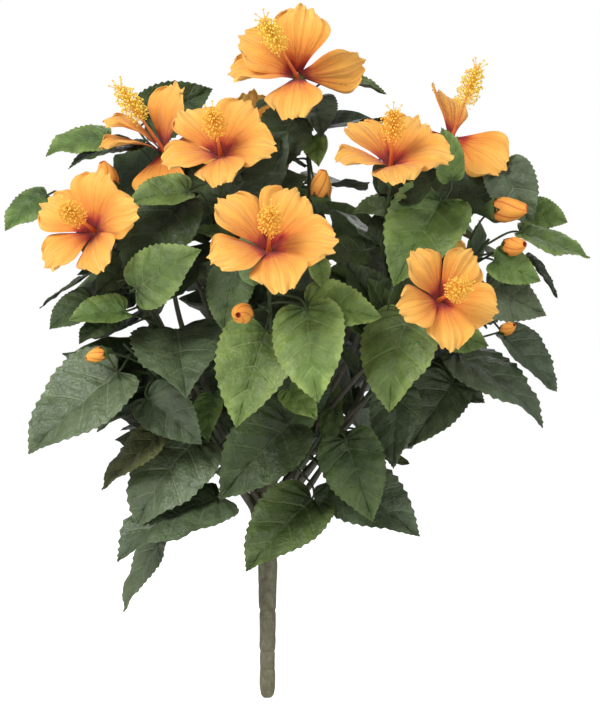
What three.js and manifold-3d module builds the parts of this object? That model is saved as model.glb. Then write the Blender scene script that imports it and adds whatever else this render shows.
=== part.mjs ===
import * as THREE from "three";
import { mergeVertices } from "three/addons/utils/BufferGeometryUtils.js";
import Module from "manifold-3d";

// An artificial hibiscus bush: a ringed plastic main stem, wired boughs that fan out from it,
// and sprays of fabric leaves and blooms. Millimetres, +Z up, the front towards -Y, and the
// origin on the stem's axis in the flat cut at ground level.

const { Vector3 } = THREE;
const v = (x, y, z) => new Vector3(x, y, z);
const UP = v(0, 0, 1);
const ASIDE = v(1, 0, 0);

// Main stem
const STEM_TOP = 262;
const STEM_FOOT_RADIUS = 5.6;
const STEM_RADIUS = 7.1;
const STEM_FORK_RADIUS = 10.4;
const STEM_TIP_RADIUS = 4.6;
const STEM_FORK = 168;
const NOTCH_HEIGHTS = [26, 42, 78, 123];
const NOTCH = 0.7;
const STEM_SIDES = 12;

// Boughs
const BOUGH_RADIUS = 3.1;
const BOUGH_TIP_RADIUS = 2.0;
const BOUGH_SIDES = 5;
const BOUGH_SPANS = 5;
const LOWEST_BOUGH = 150;
const BOUGH_STEP = 2.5;
const BOUGH_SINK = 4.5;
const BOUGH_RISE = 0.2;
const BOUGH_LANDING = 0.35;

// Sprays: the gap from a limb to the twig that carries on from it, and the room round leaves
const GAP = 0.3;
const CLEAR = 0.5;
const TWIG_RADIUS = 1.8;
const TWIG_TIP_RADIUS = 1.3;
const PETIOLE_RADIUS = 1.1;
const SHORTEST_PETIOLE = 6;
const SLIVER = 0.02;
const STALK_RADIUS = 1.0;
const STALK_ROOT = 0.55;

// Leaves: stations are parts of the length and of the half-width
const LEAF_WIDTH = 0.78;
const LEAF_THICKNESS = 0.022;
const LEAF_ARCH = 0.05;
const LEAF_FOLD = 0.16;
const LEAF_STATIONS = [[0.2, 0.95], [0.6, 0.8]];
const LEADING_FACE = v(0, -0.85, 0.5);
const DEPTH_SHIFTS = [0, 6, -6, 12, -12, 18, -18, 26, -26, 34, -34];
const EXTRA_ROLLS = [0, 15, -15, 30, -30];

// Seeded leaves: lengths, how far along the twig, their angle off it and their petioles
const FRONT_FILLERS = 3;
const FILLER_LEAVES = [58, 92];
const SHORTEST_LEAF = 42;
const FILLER_TRIES = 60;
const FILLER_SEED = 1000;
const FILLER_ROOTS = [0.08, 0.85];
const FILLER_ANGLES = [50, 100];
const FILLER_PETIOLES = [8, 30];
const FILLER_DROOP = 0.2;
const FILLER_ASLANT = [-0.4, 0.4];
const FACE_UP = 0.7;
const FACE_OUT = 0.8;
const EDGE_ON = 0.9;
const GOLDEN_ANGLE = 137.5;

// Blooms
const PETALS = 5;
const PETAL_REACH = 58;
const PETAL_HALF_WIDTH = 27;
const PETAL_THICKNESS = 1.3;
const PETAL_FLARE = 25;
const PETAL_REFLEX = 8;
const PETAL_FOLD = 0.1;
const PETAL_STATIONS = [[0.6, 0.94], [1, 0.62]];
const THROAT_RADIUS = 3.5;
const THROAT_DEPTH = 4;
const CALYX_LENGTH = 20;
const CALYX_RADIUS = 6.5;
const COLUMN_LENGTH = 70;
const COLUMN_RADIUS = 1.6;
const BRUSH_RADIUS = 10;
const HEART_SIDES = 5;

// The calyx, the column and its brush: distances from the throat, and radii
const HEART_ROWS = [
  [-22, COLUMN_RADIUS], [-CALYX_LENGTH / 2, CALYX_RADIUS], [2, THROAT_RADIUS],
  [34, COLUMN_RADIUS], [42, BRUSH_RADIUS], [62, 8],
];

// Buds: rows of parts of the length and of the widest radius, which is a part of the length
const BUD_GIRTH = 0.31;
const BUD_ROWS = [[0, 0.4], [0.3, 1], [0.68, 0.84]];
const BUD_SIDES = 6;

// The crown's own space, an egg round the fork, and the gaps where the sky shows through it
// from the front: across, up and half-width, on lines that meet at the front eye
const CROWN_MIDDLE = v(10, -12, 338);
const CROWN_HALF = v(222, 212, 222);
const FRONT_EYE = v(29, -2600, 307);
const SKY_GAPS = [
  [-78, 343, 9], [31, 477, 5], [64, 446, 8], [89, 447, 6],
  [39, 193, 10], [199, 412, 7], [82, 528, 14], [-25, 160, 8],
];

// One row a spray. Its twig runs from foot to end. A bloom faces the way given, with its petals
// turned by the degrees after it and its size last. One seen from the side has a row for each
// petal instead: its clock angle in the front view, how far back it leans and its roll. A bud has
// its middle, the way it points and its length. A leaf has its root's part of the way along the
// twig, its base, its tip and its roll about its midrib. The sprays at the back have only seeded
// leaves.
const SPRAYS = [
  {
    name: "top",
    foot: [38, -25, 430], end: [34, -48, 533], bloom: [-0.4, -0.68, 0.62, -5],
    petals: [[82, 0.35, 0], [20, 0, 62], [-95, -0.55, 0], [192, -0.1, 15], [152, 0, -10]],
    leaves: [
      [0.95, [53, -45, 541], [104, -50, 530], -34], [0.9, [41, -28, 527], [47, -62, 492], 0],
      [0.7, [22, -48, 510], [-1, -66, 453], 0], [0.5, [40, -45, 494], [45, -58, 467], 0],
      [0.8, [9, -20, 529], [-12, -24, 517], 40],
    ],
    buds: [[47, -72, 449, 0.1, -0.2, 1, 30]],
  },
  {
    name: "upper_left",
    foot: [-84, -30, 405], end: [-79, -42, 467], bloom: [-0.53, -0.4, 0.75, -26, 0.95],
    petals: [[62, 0.1, -40], [170, -0.1, 35], [198, -0.3, 35], [268, -0.25, 5], [-15, 0.3, -20]],
    leaves: [
      [0.35, [-110, -46, 488], [-173, -50, 466], 50], [0.6, [-139, -36, 495], [-193, -36, 477], 25],
      [0.8, [-108, 4, 511], [-49, 4, 540], 30],
    ],
    buds: [[-137, -72, 458, -0.3, -0.3, 0.8, 28]],
  },
  {
    name: "upper_middle",
    foot: [-45, -60, 395], end: [-36, -114, 460], bloom: [-0.1, -0.75, 0.6, -28, 0.86],
    leaves: [
      [0.9, [-75, -98, 435], [-115, -112, 357], 12], [0.2, [-29, -92, 406], [-63, -104, 410], 20],
      [0.5, [-35, -84, 440], [-68, -92, 426], 0], [0.15, [-66, -120, 442], [-117, -122, 431], 20],
    ],
  },
  {
    name: "left",
    foot: [-112, -50, 365], end: [-137, -95, 402], bloom: [-0.42, -0.85, 0.35, -5, 0.86],
    leaves: [
      [0.6, [-160, -58, 370], [-197, -62, 345], 55], [0.85, [-191, -58, 442], [-226, -62, 411], 15],
    ],
  },
  {
    name: "left_middle",
    foot: [-88, -70, 322], end: [-120, -98, 378],
    leaves: [
      [0.85, [-150, -78, 353], [-186, -84, 326], 10], [0.4, [-120, -112, 341], [-167, -118, 333], 20],
      [0.65, [-109, -126, 360], [-54, -140, 392], 15], [0.15, [-133, -72, 336], [-161, -76, 313], 20],
      [0.9, [-118, -62, 384], [-146, -70, 355], 0],
    ],
  },
  {
    name: "left_low",
    foot: [-78, -55, 268], end: [-122, -96, 314],
    leaves: [
      [0.15, [-94, -72, 236], [-142, -82, 189], 34], [0.4, [-102, -84, 267], [-55, -100, 228], 0],
      [0.8, [-126, -106, 289], [-201, -112, 220], 12], [0.5, [-77, -72, 325], [-66, -158, 268], 0],
      [0.2, [-47, -66, 269], [-50, -78, 229], 35],
    ],
    buds: [[-143, -125, 304, -0.8, -0.4, -0.3, 20]],
  },
  {
    name: "low_left",
    foot: [-26, -22, 196], end: [-60, -66, 252],
    leaves: [
      [0.6, [-96, -22, 141], [-127, -26, 79], 46], [0.7, [-63, -62, 230], [-112, -74, 155], 10],
      [0.15, [-43, -64, 181], [-127, -84, 126], 33],
    ],
  },
  {
    name: "low_middle",
    foot: [8, -34, 206], end: [28, -100, 262],
    leaves: [
      [0.2, [39, -66, 179], [-17, -92, 119], 10], [0.9, [19, -106, 245], [-39, -122, 182], 0],
    ],
  },
  {
    name: "low_right",
    foot: [30, -20, 206], end: [62, -66, 258],
    leaves: [
      [0.2, [57, -50, 194], [132, -64, 147], 0], [0.8, [68, -84, 231], [91, -98, 162], 18],
      [0.6, [58, -62, 255], [53, -70, 219], 40],
    ],
  },
  {
    name: "centre",
    foot: [6, -85, 300], end: [2, -178, 379], bloom: [0.05, -0.8, 0.55, -26, 0.95],
    leaves: [
      [0.85, [-27, -124, 376], [-36, -140, 324], 10], [0.5, [0, -152, 324], [-24, -178, 244], 0],
      [0.7, [34, -174, 342], [44, -190, 265], 22], [0.6, [35, -158, 345], [96, -172, 335], -5],
      [0.9, [44, -150, 382], [48, -156, 359], 0], [0.15, [19, -134, 275], [43, -146, 250], 0],
    ],
    buds: [[-19, -190, 338, -0.2, -0.95, -0.1, 28]],
  },
  {
    name: "right_centre",
    foot: [92, -70, 300], end: [138, -137, 346], bloom: [0.35, -0.91, 0.2, -36, 0.8],
    leaves: [
      [0.6, [120, -122, 339], [104, -142, 256], 18], [0.3, [101, -88, 336], [68, -84, 384], 0],
    ],
  },
  {
    name: "upper_right",
    foot: [100, -50, 385], end: [105, -108, 449], bloom: [0.03, -0.62, 0.78, -31, 0.88],
    leaves: [
      [0.6, [149, -84, 436], [108, -118, 362], -5], [0.5, [132, -58, 433], [74, -62, 426], 18],
      [0.9, [104, -44, 507], [75, -44, 505], 50], [0.4, [146, -26, 454], [204, -38, 432], 20],
      [0.15, [159, -80, 456], [150, -84, 499], 35],
    ],
  },
  {
    name: "right_low",
    foot: [82, -34, 262], end: [152, -66, 335],
    leaves: [
      [0.3, [113, -74, 272], [108, -90, 207], 30], [0.6, [160, -66, 279], [122, -80, 224], 0],
      [0.5, [138, -44, 287], [189, -52, 262], 0], [0.9, [164, -86, 306], [236, -96, 242], -32],
      [0.8, [154, -98, 324], [189, -108, 312], 15],
    ],
    buds: [[208, -75, 327, 0.5, -0.7, 0.3, 18]],
  },
  {
    name: "far_right",
    foot: [132, -4, 400], end: [156, -14, 477], bloom: [0.3, -0.42, 0.85, -20, 0.95],
    petals: [[-38, -0.1, 8], [150, 0.1, -95], [118, 1.2, 40], [-150, 0.6, -20], [-80, 1.4, 15]],
    leaves: [
      [0.15, [206, -40, 469], [230, -42, 416], 10], [0.5, [230, -8, 432], [265, -9, 421], 20],
    ],
  },
  {
    name: "right",
    foot: [148, -30, 345], end: [192, -66, 404],
    leaves: [
      [0.3, [207, -50, 321], [251, -56, 272], -35], [0.5, [191, -58, 363], [241, -72, 338], 30],
      [0.75, [226, -52, 388], [252, -52, 353], -62], [0.65, [196, -92, 385], [235, -98, 367], 12],
      [0.9, [220, -62, 410], [280, -63, 389], -38],
    ],
    buds: [[207, -72, 429, 0.95, -0.2, 0.05, 36], [212, -94, 397, 0.6, -0.7, 0.1, 26]],
  },
  {
    name: "back_right", fill: 7,
    foot: [98, 64, 276], end: [130, 114, 322], bloom: [0.4, 0.85, 0.35, 10, 0.86],
  },
  {
    name: "back_upper_right", fill: 7,
    foot: [88, 62, 346], end: [124, 110, 388], bloom: [0.4, 0.8, 0.35, 30, 0.9],
  },
  {
    name: "back_top", fill: 7,
    foot: [4, 40, 420], end: [-18, 76, 474], bloom: [-0.1, 0.75, 0.6, 0],
  },
  {
    name: "back_upper_left", fill: 7,
    foot: [-66, 60, 372], end: [-96, 104, 424], bloom: [-0.4, 0.75, 0.5, 15],
  },
  {
    name: "back_left", fill: 7,
    foot: [-76, 66, 232], end: [-82, 116, 260], bloom: [-0.4, 0.87, 0.2, -20, 0.85],
  },
  {
    name: "back_middle", fill: 8,
    foot: [6, 98, 320], end: [0, 158, 372], bloom: [0, 0.85, 0.5, 20],
  },
  {
    name: "back_low_right", fill: 7,
    foot: [60, 62, 226], end: [100, 110, 270],
  },
  {
    name: "back_low_middle", fill: 7,
    foot: [2, 60, 208], end: [-6, 116, 248],
  },
  {
    name: "back_low_left", fill: 7,
    foot: [-56, 58, 226], end: [-98, 104, 268],
  },
];

// Seeded numbers from 0 to 1, the same in any language with 32-bit whole numbers
function seeded(seed) {
  let state = seed;
  return () => {
    state = (state + 0x6d2b79f5) | 0;
    let t = Math.imul(state ^ (state >>> 15), 1 | state);
    t = (t + Math.imul(t ^ (t >>> 7), 61 | t)) ^ t;
    return ((t ^ (t >>> 14)) >>> 0) / 4294967296;
  };
}

const between = (low, high, part) => low + (high - low) * part;
const radians = (degrees) => (degrees * Math.PI) / 180;
const at = (from, way, far) => from.clone().addScaledVector(way, far);
const towards = (from, to) => to.clone().sub(from).normalize();
const square = (way, axis) => at(way, axis, -way.dot(axis)).normalize();
const clockWay = (clock, back = 0) => v(Math.cos(radians(clock)), back, Math.sin(radians(clock))).normalize();

// A closed shape through rings of points, each ring run anticlockwise about the way forward. A
// ring of one point is a tip, and any other end ring is capped.
function loft(rings) {
  const points = rings.flat();
  const faces = [];
  let start = 0;
  for (let i = 0; i + 1 < rings.length; i++) {
    const here = rings[i].length;
    const there = rings[i + 1].length;
    for (let k = 0; k < Math.max(here, there); k++) {
      const [a, b] = [start + (k % here), start + ((k + 1) % here)];
      const [c, d] = [start + here + (k % there), start + here + ((k + 1) % there)];
      if (here > 1) faces.push([a, b, d]);
      if (there > 1) faces.push([a, d, c]);
    }
    start += here;
  }
  const cap = (first, count, turned) => {
    for (let k = 2; k < count; k++) {
      const pair = [first + k, first + ((k + 1) % count)];
      faces.push(turned ? [first + 1, pair[1], pair[0]] : [first + 1, ...pair]);
    }
  };
  cap(0, rings[0].length, true);
  cap(start, rings.at(-1).length, false);
  return { points, faces };
}

// A straight or bent tube of a few sides along a path; a radius of 0 makes a tip
function tube(path, radii, sides) {
  const chord = towards(path[0], path.at(-1));
  const side = square(Math.abs(chord.z) > 0.9 ? ASIDE : UP, chord);
  return loft(path.map((point, i) => {
    if (radii[i] === 0) return [point];
    const way = towards(path[Math.max(i - 1, 0)], path[Math.min(i + 1, path.length - 1)]);
    const across = square(side, way);
    const over = way.clone().cross(across);
    return Array.from({ length: sides }, (_, k) => {
      const turn = (k / sides) * 2 * Math.PI;
      return at(at(point, across, Math.cos(turn) * radii[i]), over, Math.sin(turn) * radii[i]);
    });
  }));
}

// A body of revolution on a straight axis, from rows of distance and radius
function spindle(from, way, rows, sides) {
  return tube(rows.map(([far]) => at(from, way, far)), rows.map(([, radius]) => radius), sides);
}

// A thin blade with a raised middle, from rows of point, half-width and half-thickness
function blade(rows, face, fold) {
  return loft(rows.map(([point, wide, thick], i) => {
    if (wide === 0) return [point];
    const way = towards(rows[Math.max(i - 1, 0)][0], rows[Math.min(i + 1, rows.length - 1)][0]);
    const out = square(face, way);
    const side = out.clone().cross(way);
    return [
      at(at(point, side, wide), out, wide * fold),
      at(point, out, thick),
      at(at(point, side, -wide), out, wide * fold),
      at(point, out, -thick),
    ];
  }));
}

// A leaf from its base to its tip, turned to a face. Grown leaves, larger all round, are used
// to keep neighbours clear, and one with a root has its petiole on.
function leaf({ root, base, tip, face }, grown = 0) {
  const length = base.distanceTo(tip);
  const way = towards(base, tip);
  const out = square(face, way);
  const midrib = (t) => at(at(base, way, length * t), out, LEAF_ARCH * length * 4 * t * (1 - t));
  const rows = LEAF_STATIONS.map(([t, wide]) => [
    midrib(t), wide * length * LEAF_WIDTH / 2 + grown, length * LEAF_THICKNESS / 2 + grown,
  ]);
  const petiole = [root, base].map((point) => [point, PETIOLE_RADIUS, PETIOLE_RADIUS]);
  const start = root ? petiole : [[at(base, way, -grown), 0]];
  return blade([...start, ...rows, [at(tip, way, grown), 0]], out, LEAF_FOLD);
}

// A petal flares forward from the throat and bends back at its rim
function petal(throat, facing, spoke, size, grown = 0) {
  const point = (t) => {
    const out = at(throat, spoke, size * between(THROAT_RADIUS, PETAL_REACH, t));
    return at(out, facing, size * (PETAL_FLARE * t * (2 - t) - PETAL_REFLEX * t ** 3));
  };
  const rows = PETAL_STATIONS.map(([t, wide]) => [
    at(point(t), spoke, t * grown), wide * size * PETAL_HALF_WIDTH + grown, PETAL_THICKNESS / 2 + grown,
  ]);
  return blade([[at(throat, facing, -THROAT_DEPTH), 0], ...rows], facing, PETAL_FOLD);
}

// The way out and the face of each petal, by its own row or evenly round the throat
function petalWays(petals, facing, turn) {
  if (petals) {
    return petals.map(([clock, back, roll]) => {
      const spoke = clockWay(clock, back);
      return [spoke, square(LEADING_FACE, spoke).applyAxisAngle(spoke, radians(roll))];
    });
  }
  const upright = square(UP, facing);
  return Array.from({ length: PETALS }, (_, k) => [
    upright.clone().applyAxisAngle(facing, radians(turn + (k * 360) / PETALS)), facing,
  ]);
}

// Five petals, and one turned piece for the calyx, the column and its brush of anthers
function bloom(end, facing, ways, size, grown = 0) {
  const throat = at(end, facing, CALYX_LENGTH);
  const shapes = ways.map(([spoke, face]) => petal(throat, face, spoke, size, grown));
  const heart = HEART_ROWS.map(([far, radius]) => [far, radius + grown]);
  return [...shapes, spindle(throat, facing, [...heart, [COLUMN_LENGTH + grown, 0]], HEART_SIDES)];
}

function bud(middle, way, length, grown = 0) {
  const rows = BUD_ROWS.map(([far, wide]) => [length * far, length * BUD_GIRTH * wide + grown]);
  rows[0][0] -= grown;
  return spindle(at(middle, way, -length / 2), way, [...rows, [length + grown, 0]], BUD_SIDES);
}

// Two shapes touch where an edge of one runs through a face of the other, grown by the room
// that they keep
const boxOf = (points) => new THREE.Box3().setFromPoints(points);

function edgesOf({ points, faces }) {
  return faces.flatMap((face) => face.map((from, k) => [from, face[(k + 1) % 3]]))
    .filter(([from, to]) => from < to)
    .map(([from, to]) => [points[from], points[to]]);
}

function pierces([from, to], [a, b, c]) {
  const run = to.clone().sub(from);
  const [ab, ac] = [b.clone().sub(a), c.clone().sub(a)];
  const normal = run.clone().cross(ac);
  const size = ab.dot(normal);
  if (Math.abs(size) < 1e-9) return false;
  const away = from.clone().sub(a);
  const turned = away.clone().cross(ab);
  const first = away.dot(normal) / size;
  const second = run.dot(turned) / size;
  const far = ac.dot(turned) / size;
  return first >= 0 && second >= 0 && first + second <= 1 && far >= 0 && far <= 1;
}

function crosses(bare, grown) {
  if (!bare.box.intersectsBox(grown.box)) return false;
  return bare.edges.some((edge) => grown.triangles.some((triangle) => pierces(edge, triangle)));
}

const bareOf = (shape) => ({ box: boxOf(shape.points), edges: edgesOf(shape) });

function grownOf({ points, faces }) {
  return { box: boxOf(points), triangles: faces.map((face) => face.map((k) => points[k])) };
}

// A thing has its kind, the node that it is part of, its shape and what it is compared by
function thing(kind, owner, make) {
  const shape = make(0);
  return { kind, owner, shape, bare: bareOf(shape), grown: grownOf(make(CLEAR)) };
}

const touches = (one, other) => crosses(one.bare, other.grown) || crosses(other.bare, one.grown);
const placed = [];
const clearOf = (one, test) => !placed.some((other) => test(other) && touches(one, other));

// Main stem: moulded notches up to the fork, where it is widest, then a short leader
function stemProfile(grown = 0) {
  const outline = [[0, 0], [STEM_FOOT_RADIUS, 0], [STEM_RADIUS, 5]];
  for (const height of NOTCH_HEIGHTS) {
    const radius = between(STEM_RADIUS, STEM_FORK_RADIUS, (height / STEM_FORK) ** 1.5);
    outline.push([radius, height - 3], [radius - NOTCH, height], [radius, height + 2]);
  }
  outline.push([STEM_FORK_RADIUS, STEM_FORK], [STEM_TIP_RADIUS, STEM_TOP], [0, STEM_TOP]);
  return outline.map(([radius, height]) => new THREE.Vector2(radius && radius + grown, height));
}

function stemGeometry(grown = 0) {
  const geometry = new THREE.LatheGeometry(stemProfile(grown), STEM_SIDES);
  geometry.rotateX(Math.PI / 2);
  return geometry;
}

function stemRadius(height) {
  const part = Math.max(height - STEM_FORK, 0) / (STEM_TOP - STEM_FORK);
  return between(STEM_FORK_RADIUS, STEM_TIP_RADIUS, part);
}

// A bough leaves the stem upwards and out, and ends in line with its spray's twig
function bough({ foot, lean }, height, grown = 0) {
  const out = v(foot.x, foot.y, 0).normalize();
  const start = at(v(0, 0, height), out, stemRadius(height) - BOUGH_SINK);
  const run = start.distanceTo(foot);
  const rise = at(at(start, out, run * BOUGH_RISE), UP, run * BOUGH_RISE);
  const landing = at(foot, lean, -run * BOUGH_LANDING);
  const path = new THREE.CubicBezierCurve3(start, rise, landing, foot).getPoints(BOUGH_SPANS);
  const radii = path.map((_, i) => between(BOUGH_RADIUS, BOUGH_TIP_RADIUS, i / BOUGH_SPANS) + grown);
  return tube(path, radii, BOUGH_SIDES);
}

const sprays = SPRAYS.map((row, index) => {
  const foot = v(...row.foot);
  const end = v(...row.end);
  const middle = foot.clone().lerp(end, 0.5);
  return { ...row, index, foot, end, middle, lean: towards(foot, end), node: `spray_${row.name}` };
});

// From the lowest spray up, each bough starts where it is first clear of those before it
function placeBough(spray) {
  for (let height = LOWEST_BOUGH; height < STEM_TOP; height += BOUGH_STEP) {
    const limb = thing("limb", `bough_${spray.name}`, (grown) => bough(spray, height, grown));
    if (clearOf(limb, () => true)) {
      placed.push(limb);
      return;
    }
  }
}

sprays.toSorted((one, other) => one.foot.z - other.foot.z).forEach(placeBough);

// The twigs, blooms and buds
for (const { foot, end, lean, node, bloom: flower, petals, buds = [] } of sprays) {
  const twig = [at(foot, lean, GAP), end];
  const put = (kind, make) => placed.push(thing(kind, node, make));
  put("twig", (grown) => tube(twig, [TWIG_RADIUS + grown, TWIG_TIP_RADIUS + grown], 3));
  if (flower) {
    const [x, y, z, turn, size = 1] = flower;
    const facing = v(x, y, z).normalize();
    const ways = petalWays(petals, facing, turn);
    const pieces = (grown) => bloom(end, facing, ways, size, grown);
    pieces(0).forEach((_, k) => put("petal", (grown) => pieces(grown)[k]));
  }
  for (const [x, y, z, toX, toY, toZ, length] of buds) {
    const middle = v(x, y, z);
    const way = v(toX, toY, toZ).normalize();
    const root = foot.clone().lerp(end, STALK_ROOT);
    const bottom = at(middle, way, -length * 0.4);
    const bend = at(bottom, way, -length * 0.5).lerp(root, 0.3);
    put("bud", (grown) => bud(middle, way, length, grown));
    put("stalk", (grown) => tube([root, bend, bottom], Array(3).fill(STALK_RADIUS + grown), 3));
  }
}

// A leaf's blade and its petiole are compared apart, and made as one shape
function leafOn({ node }, root, base, tip, face) {
  const whole = leaf({ root, base, tip, face });
  const blades = thing("leaf", node, (grown) => leaf({ base, tip, face }, grown));
  const radii = (grown) => Array(2).fill(PETIOLE_RADIUS + grown);
  const stalk = thing("petiole", node, (grown) => tube([root, base], radii(grown), 3));
  return { base, tip, face, blades: { ...blades, shape: whole }, stalk: { ...stalk, shape: null } };
}

// A blade keeps clear of all but its own spray's wood, and a petiole of its own petals and all
// that isn't its spray's
function fits({ blades, stalk }, { node }) {
  const wood = ({ owner, kind }) => owner === node && (kind === "twig" || kind === "petiole");
  return clearOf(blades, (other) => !wood(other))
    && clearOf(stalk, ({ owner, kind }) => owner !== node || kind === "petal");
}

// A leading leaf that would touch is moved in depth and rolled, and skipped if nothing helps
function placeLeader(spray, [along, start, stop, roll]) {
  const root = spray.foot.clone().lerp(spray.end, along);
  for (const extra of EXTRA_ROLLS) {
    for (const shift of DEPTH_SHIFTS) {
      const [base, tip] = [start, stop].map(([x, y, z]) => v(x, y + shift, z));
      const way = towards(base, tip);
      const face = square(LEADING_FACE, way).applyAxisAngle(way, radians(roll + extra));
      const made = leafOn(spray, root, base, tip, face);
      if (fits(made, spray)) {
        placed.push(made.blades, made.stalk);
        return;
      }
    }
  }
}

for (const spray of sprays) {
  (spray.leaves ?? []).forEach((row) => placeLeader(spray, row));
}

// Seeded leaves fill the crown: golden-angle steps round the twig, turned up and out, inside
// the crown's own space, behind the leading leaves and off the sky gaps
const skyLines = SKY_GAPS.map(([x, z, wide]) => {
  const through = v(x, 0, z);
  const line = [FRONT_EYE, at(through, towards(FRONT_EYE, through), CROWN_HALF.y * 2)];
  return { wide, bare: { box: boxOf(line), edges: [line] } };
});

const inCrown = (point) => point.clone().sub(CROWN_MIDDLE).divide(CROWN_HALF).length() <= 1;

function filler(spray, turn, random) {
  const { foot, end, lean } = spray;
  const root = foot.clone().lerp(end, between(...FILLER_ROOTS, random()));
  const across = square(UP, lean).applyAxisAngle(lean, radians(turn));
  const open = radians(between(...FILLER_ANGLES, random()));
  const out = at(lean.clone().multiplyScalar(Math.cos(open)), across, Math.sin(open));
  const length = between(...FILLER_LEAVES, random());
  const tip = at(root, out, length + between(...FILLER_PETIOLES, random()));
  tip.z -= length * FILLER_DROOP;
  const outward = v(tip.x, tip.y, 0).normalize();
  const upward = at(v(0, 0, FACE_UP), outward, FACE_OUT);
  const face = at(upward, ASIDE, between(...FILLER_ASLANT, random()));
  const way = towards(root, tip);
  const edgeOn = Math.abs(way.dot(face.clone().normalize())) > EDGE_ON;
  const inFront = spray.leaves && tip.y < spray.middle.y;
  if (edgeOn || inFront || !inCrown(tip)) return null;
  const size = Math.min(length, root.distanceTo(tip) - SHORTEST_PETIOLE);
  const made = leafOn(spray, root, at(tip, way, -size), tip, face);
  const offSky = skyLines.every(({ wide, bare }) => !crosses(bare, grownOf(leaf(made, wide))));
  return offSky && size >= SHORTEST_LEAF && fits(made, spray) ? made : null;
}

for (const spray of sprays) {
  const random = seeded(FILLER_SEED + spray.index);
  let wanted = spray.fill ?? FRONT_FILLERS;
  let turn = random() * 360;
  for (let attempt = 0; attempt < FILLER_TRIES && wanted > 0; attempt++) {
    turn += GOLDEN_ANGLE;
    const made = filler(spray, turn, random);
    if (!made) continue;
    placed.push(made.blades, made.stalk);
    wanted -= 1;
  }
}

// Solids
const wasm = await Module();
wasm.setup();

function solidOf({ points, faces }) {
  return new wasm.Manifold(new wasm.Mesh({
    numProp: 3,
    vertProperties: new Float32Array(points.flatMap((point) => point.toArray())),
    triVerts: new Uint32Array(faces.flat()),
  }));
}

const bulkier = (one, other) => (one.volume() > other.volume() ? one : other);
const largest = (solid) => solid.decompose().reduce(bulkier);

// Joins shapes into one body: sealed hollows are filled and loose scraps dropped
function fuse(shapes) {
  return largest(shapes.map(solidOf).reduce((all, next) => all.add(next))).simplify(SLIVER);
}

function geometryOf(solid) {
  const mesh = solid.getMesh();
  const geometry = new THREE.BufferGeometry();
  geometry.setAttribute("position", new THREE.BufferAttribute(mesh.vertProperties, 3));
  geometry.setIndex(new THREE.BufferAttribute(mesh.triVerts, 1));
  geometry.computeVertexNormals();
  return geometry;
}

// The points and faces of a turned geometry, with its seam and its poles closed
function shapeOf(geometry) {
  geometry.deleteAttribute("normal");
  geometry.deleteAttribute("uv");
  const merged = mergeVertices(geometry, 1e-3);
  const spots = merged.getAttribute("position");
  const points = Array.from({ length: spots.count }, (_, i) => new Vector3().fromBufferAttribute(spots, i));
  const index = [...merged.index.array];
  const faces = Array.from({ length: index.length / 3 }, (_, i) => index.slice(3 * i, 3 * i + 3));
  return { points, faces: faces.filter((face) => new Set(face).size === 3) };
}

// Materials
const stemPlastic = new THREE.MeshStandardMaterial({ color: 0x716a58, roughness: 0.6, metalness: 0 });
const boughPlastic = new THREE.MeshStandardMaterial({ color: 0x3b3d29, roughness: 0.55, metalness: 0 });
const leafFabric = new THREE.MeshStandardMaterial({ color: 0x4c6636, roughness: 0.65, metalness: 0 });

// Assembly
const group = new THREE.Group();
function node(name, solid, material) {
  const mesh = new THREE.Mesh(geometryOf(solid), material);
  mesh.name = name;
  group.add(mesh);
}

node("main_stem", solidOf(shapeOf(stemGeometry())), stemPlastic);
const stemRoom = solidOf(shapeOf(stemGeometry(GAP)));
for (const { owner, shape } of placed.filter(({ kind }) => kind === "limb")) {
  node(owner, largest(solidOf(shape).subtract(stemRoom)), boughPlastic);
}
for (const spray of sprays) {
  const own = placed.filter(({ owner, shape }) => shape && owner === spray.node);
  node(spray.node, fuse(own.map(({ shape }) => shape)), leafFabric);
}

export default group;
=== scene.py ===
# %% [markdown]
# An artificial hibiscus bush: fabric leaves and orange fabric blooms on wired plastic stems.
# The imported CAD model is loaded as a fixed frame. It holds the true sizes and places: the main
# stem, the boughs and one solid for each spray. The finished pieces are modelled on top of it.
# Blender works in metres here, with +Z up and the front towards -Y.

# %% Load the frame
import bmesh
import bpy
import math
import numpy as np
from mathutils import Matrix, Vector


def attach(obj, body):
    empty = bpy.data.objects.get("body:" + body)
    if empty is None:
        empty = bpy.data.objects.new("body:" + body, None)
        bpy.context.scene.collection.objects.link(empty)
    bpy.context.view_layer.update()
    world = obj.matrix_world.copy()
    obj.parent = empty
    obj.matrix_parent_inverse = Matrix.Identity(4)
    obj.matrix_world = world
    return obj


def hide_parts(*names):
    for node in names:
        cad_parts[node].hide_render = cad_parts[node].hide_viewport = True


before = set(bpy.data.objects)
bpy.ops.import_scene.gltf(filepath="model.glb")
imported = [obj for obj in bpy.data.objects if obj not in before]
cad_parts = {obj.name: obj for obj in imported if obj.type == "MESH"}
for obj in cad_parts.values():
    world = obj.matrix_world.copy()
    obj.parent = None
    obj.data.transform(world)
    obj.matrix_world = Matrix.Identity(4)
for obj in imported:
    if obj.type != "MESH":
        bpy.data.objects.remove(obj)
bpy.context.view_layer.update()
bpy.ops.object.select_all(action="DESELECT")

# %% [markdown]
# The camera comes first, because every look at the bush depends on it. It is level, a little
# right of the stem and 2.6 m away, with a long lens, so that the crown shows hardly any
# perspective. The colours are shown plainly, with no film-like curve over them.

# %% Camera
EYE = (0.0288, -2.6, 0.3065)
LENS_MM = 150

bpy.ops.object.camera_add(location=EYE, rotation=(math.radians(90), 0, 0))
camera = bpy.context.object
camera.data.lens = LENS_MM
bpy.context.scene.camera = camera
bpy.context.scene.view_settings.view_transform = "Standard"
print("camera", tuple(camera.location), camera.data.lens, "mm")

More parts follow.
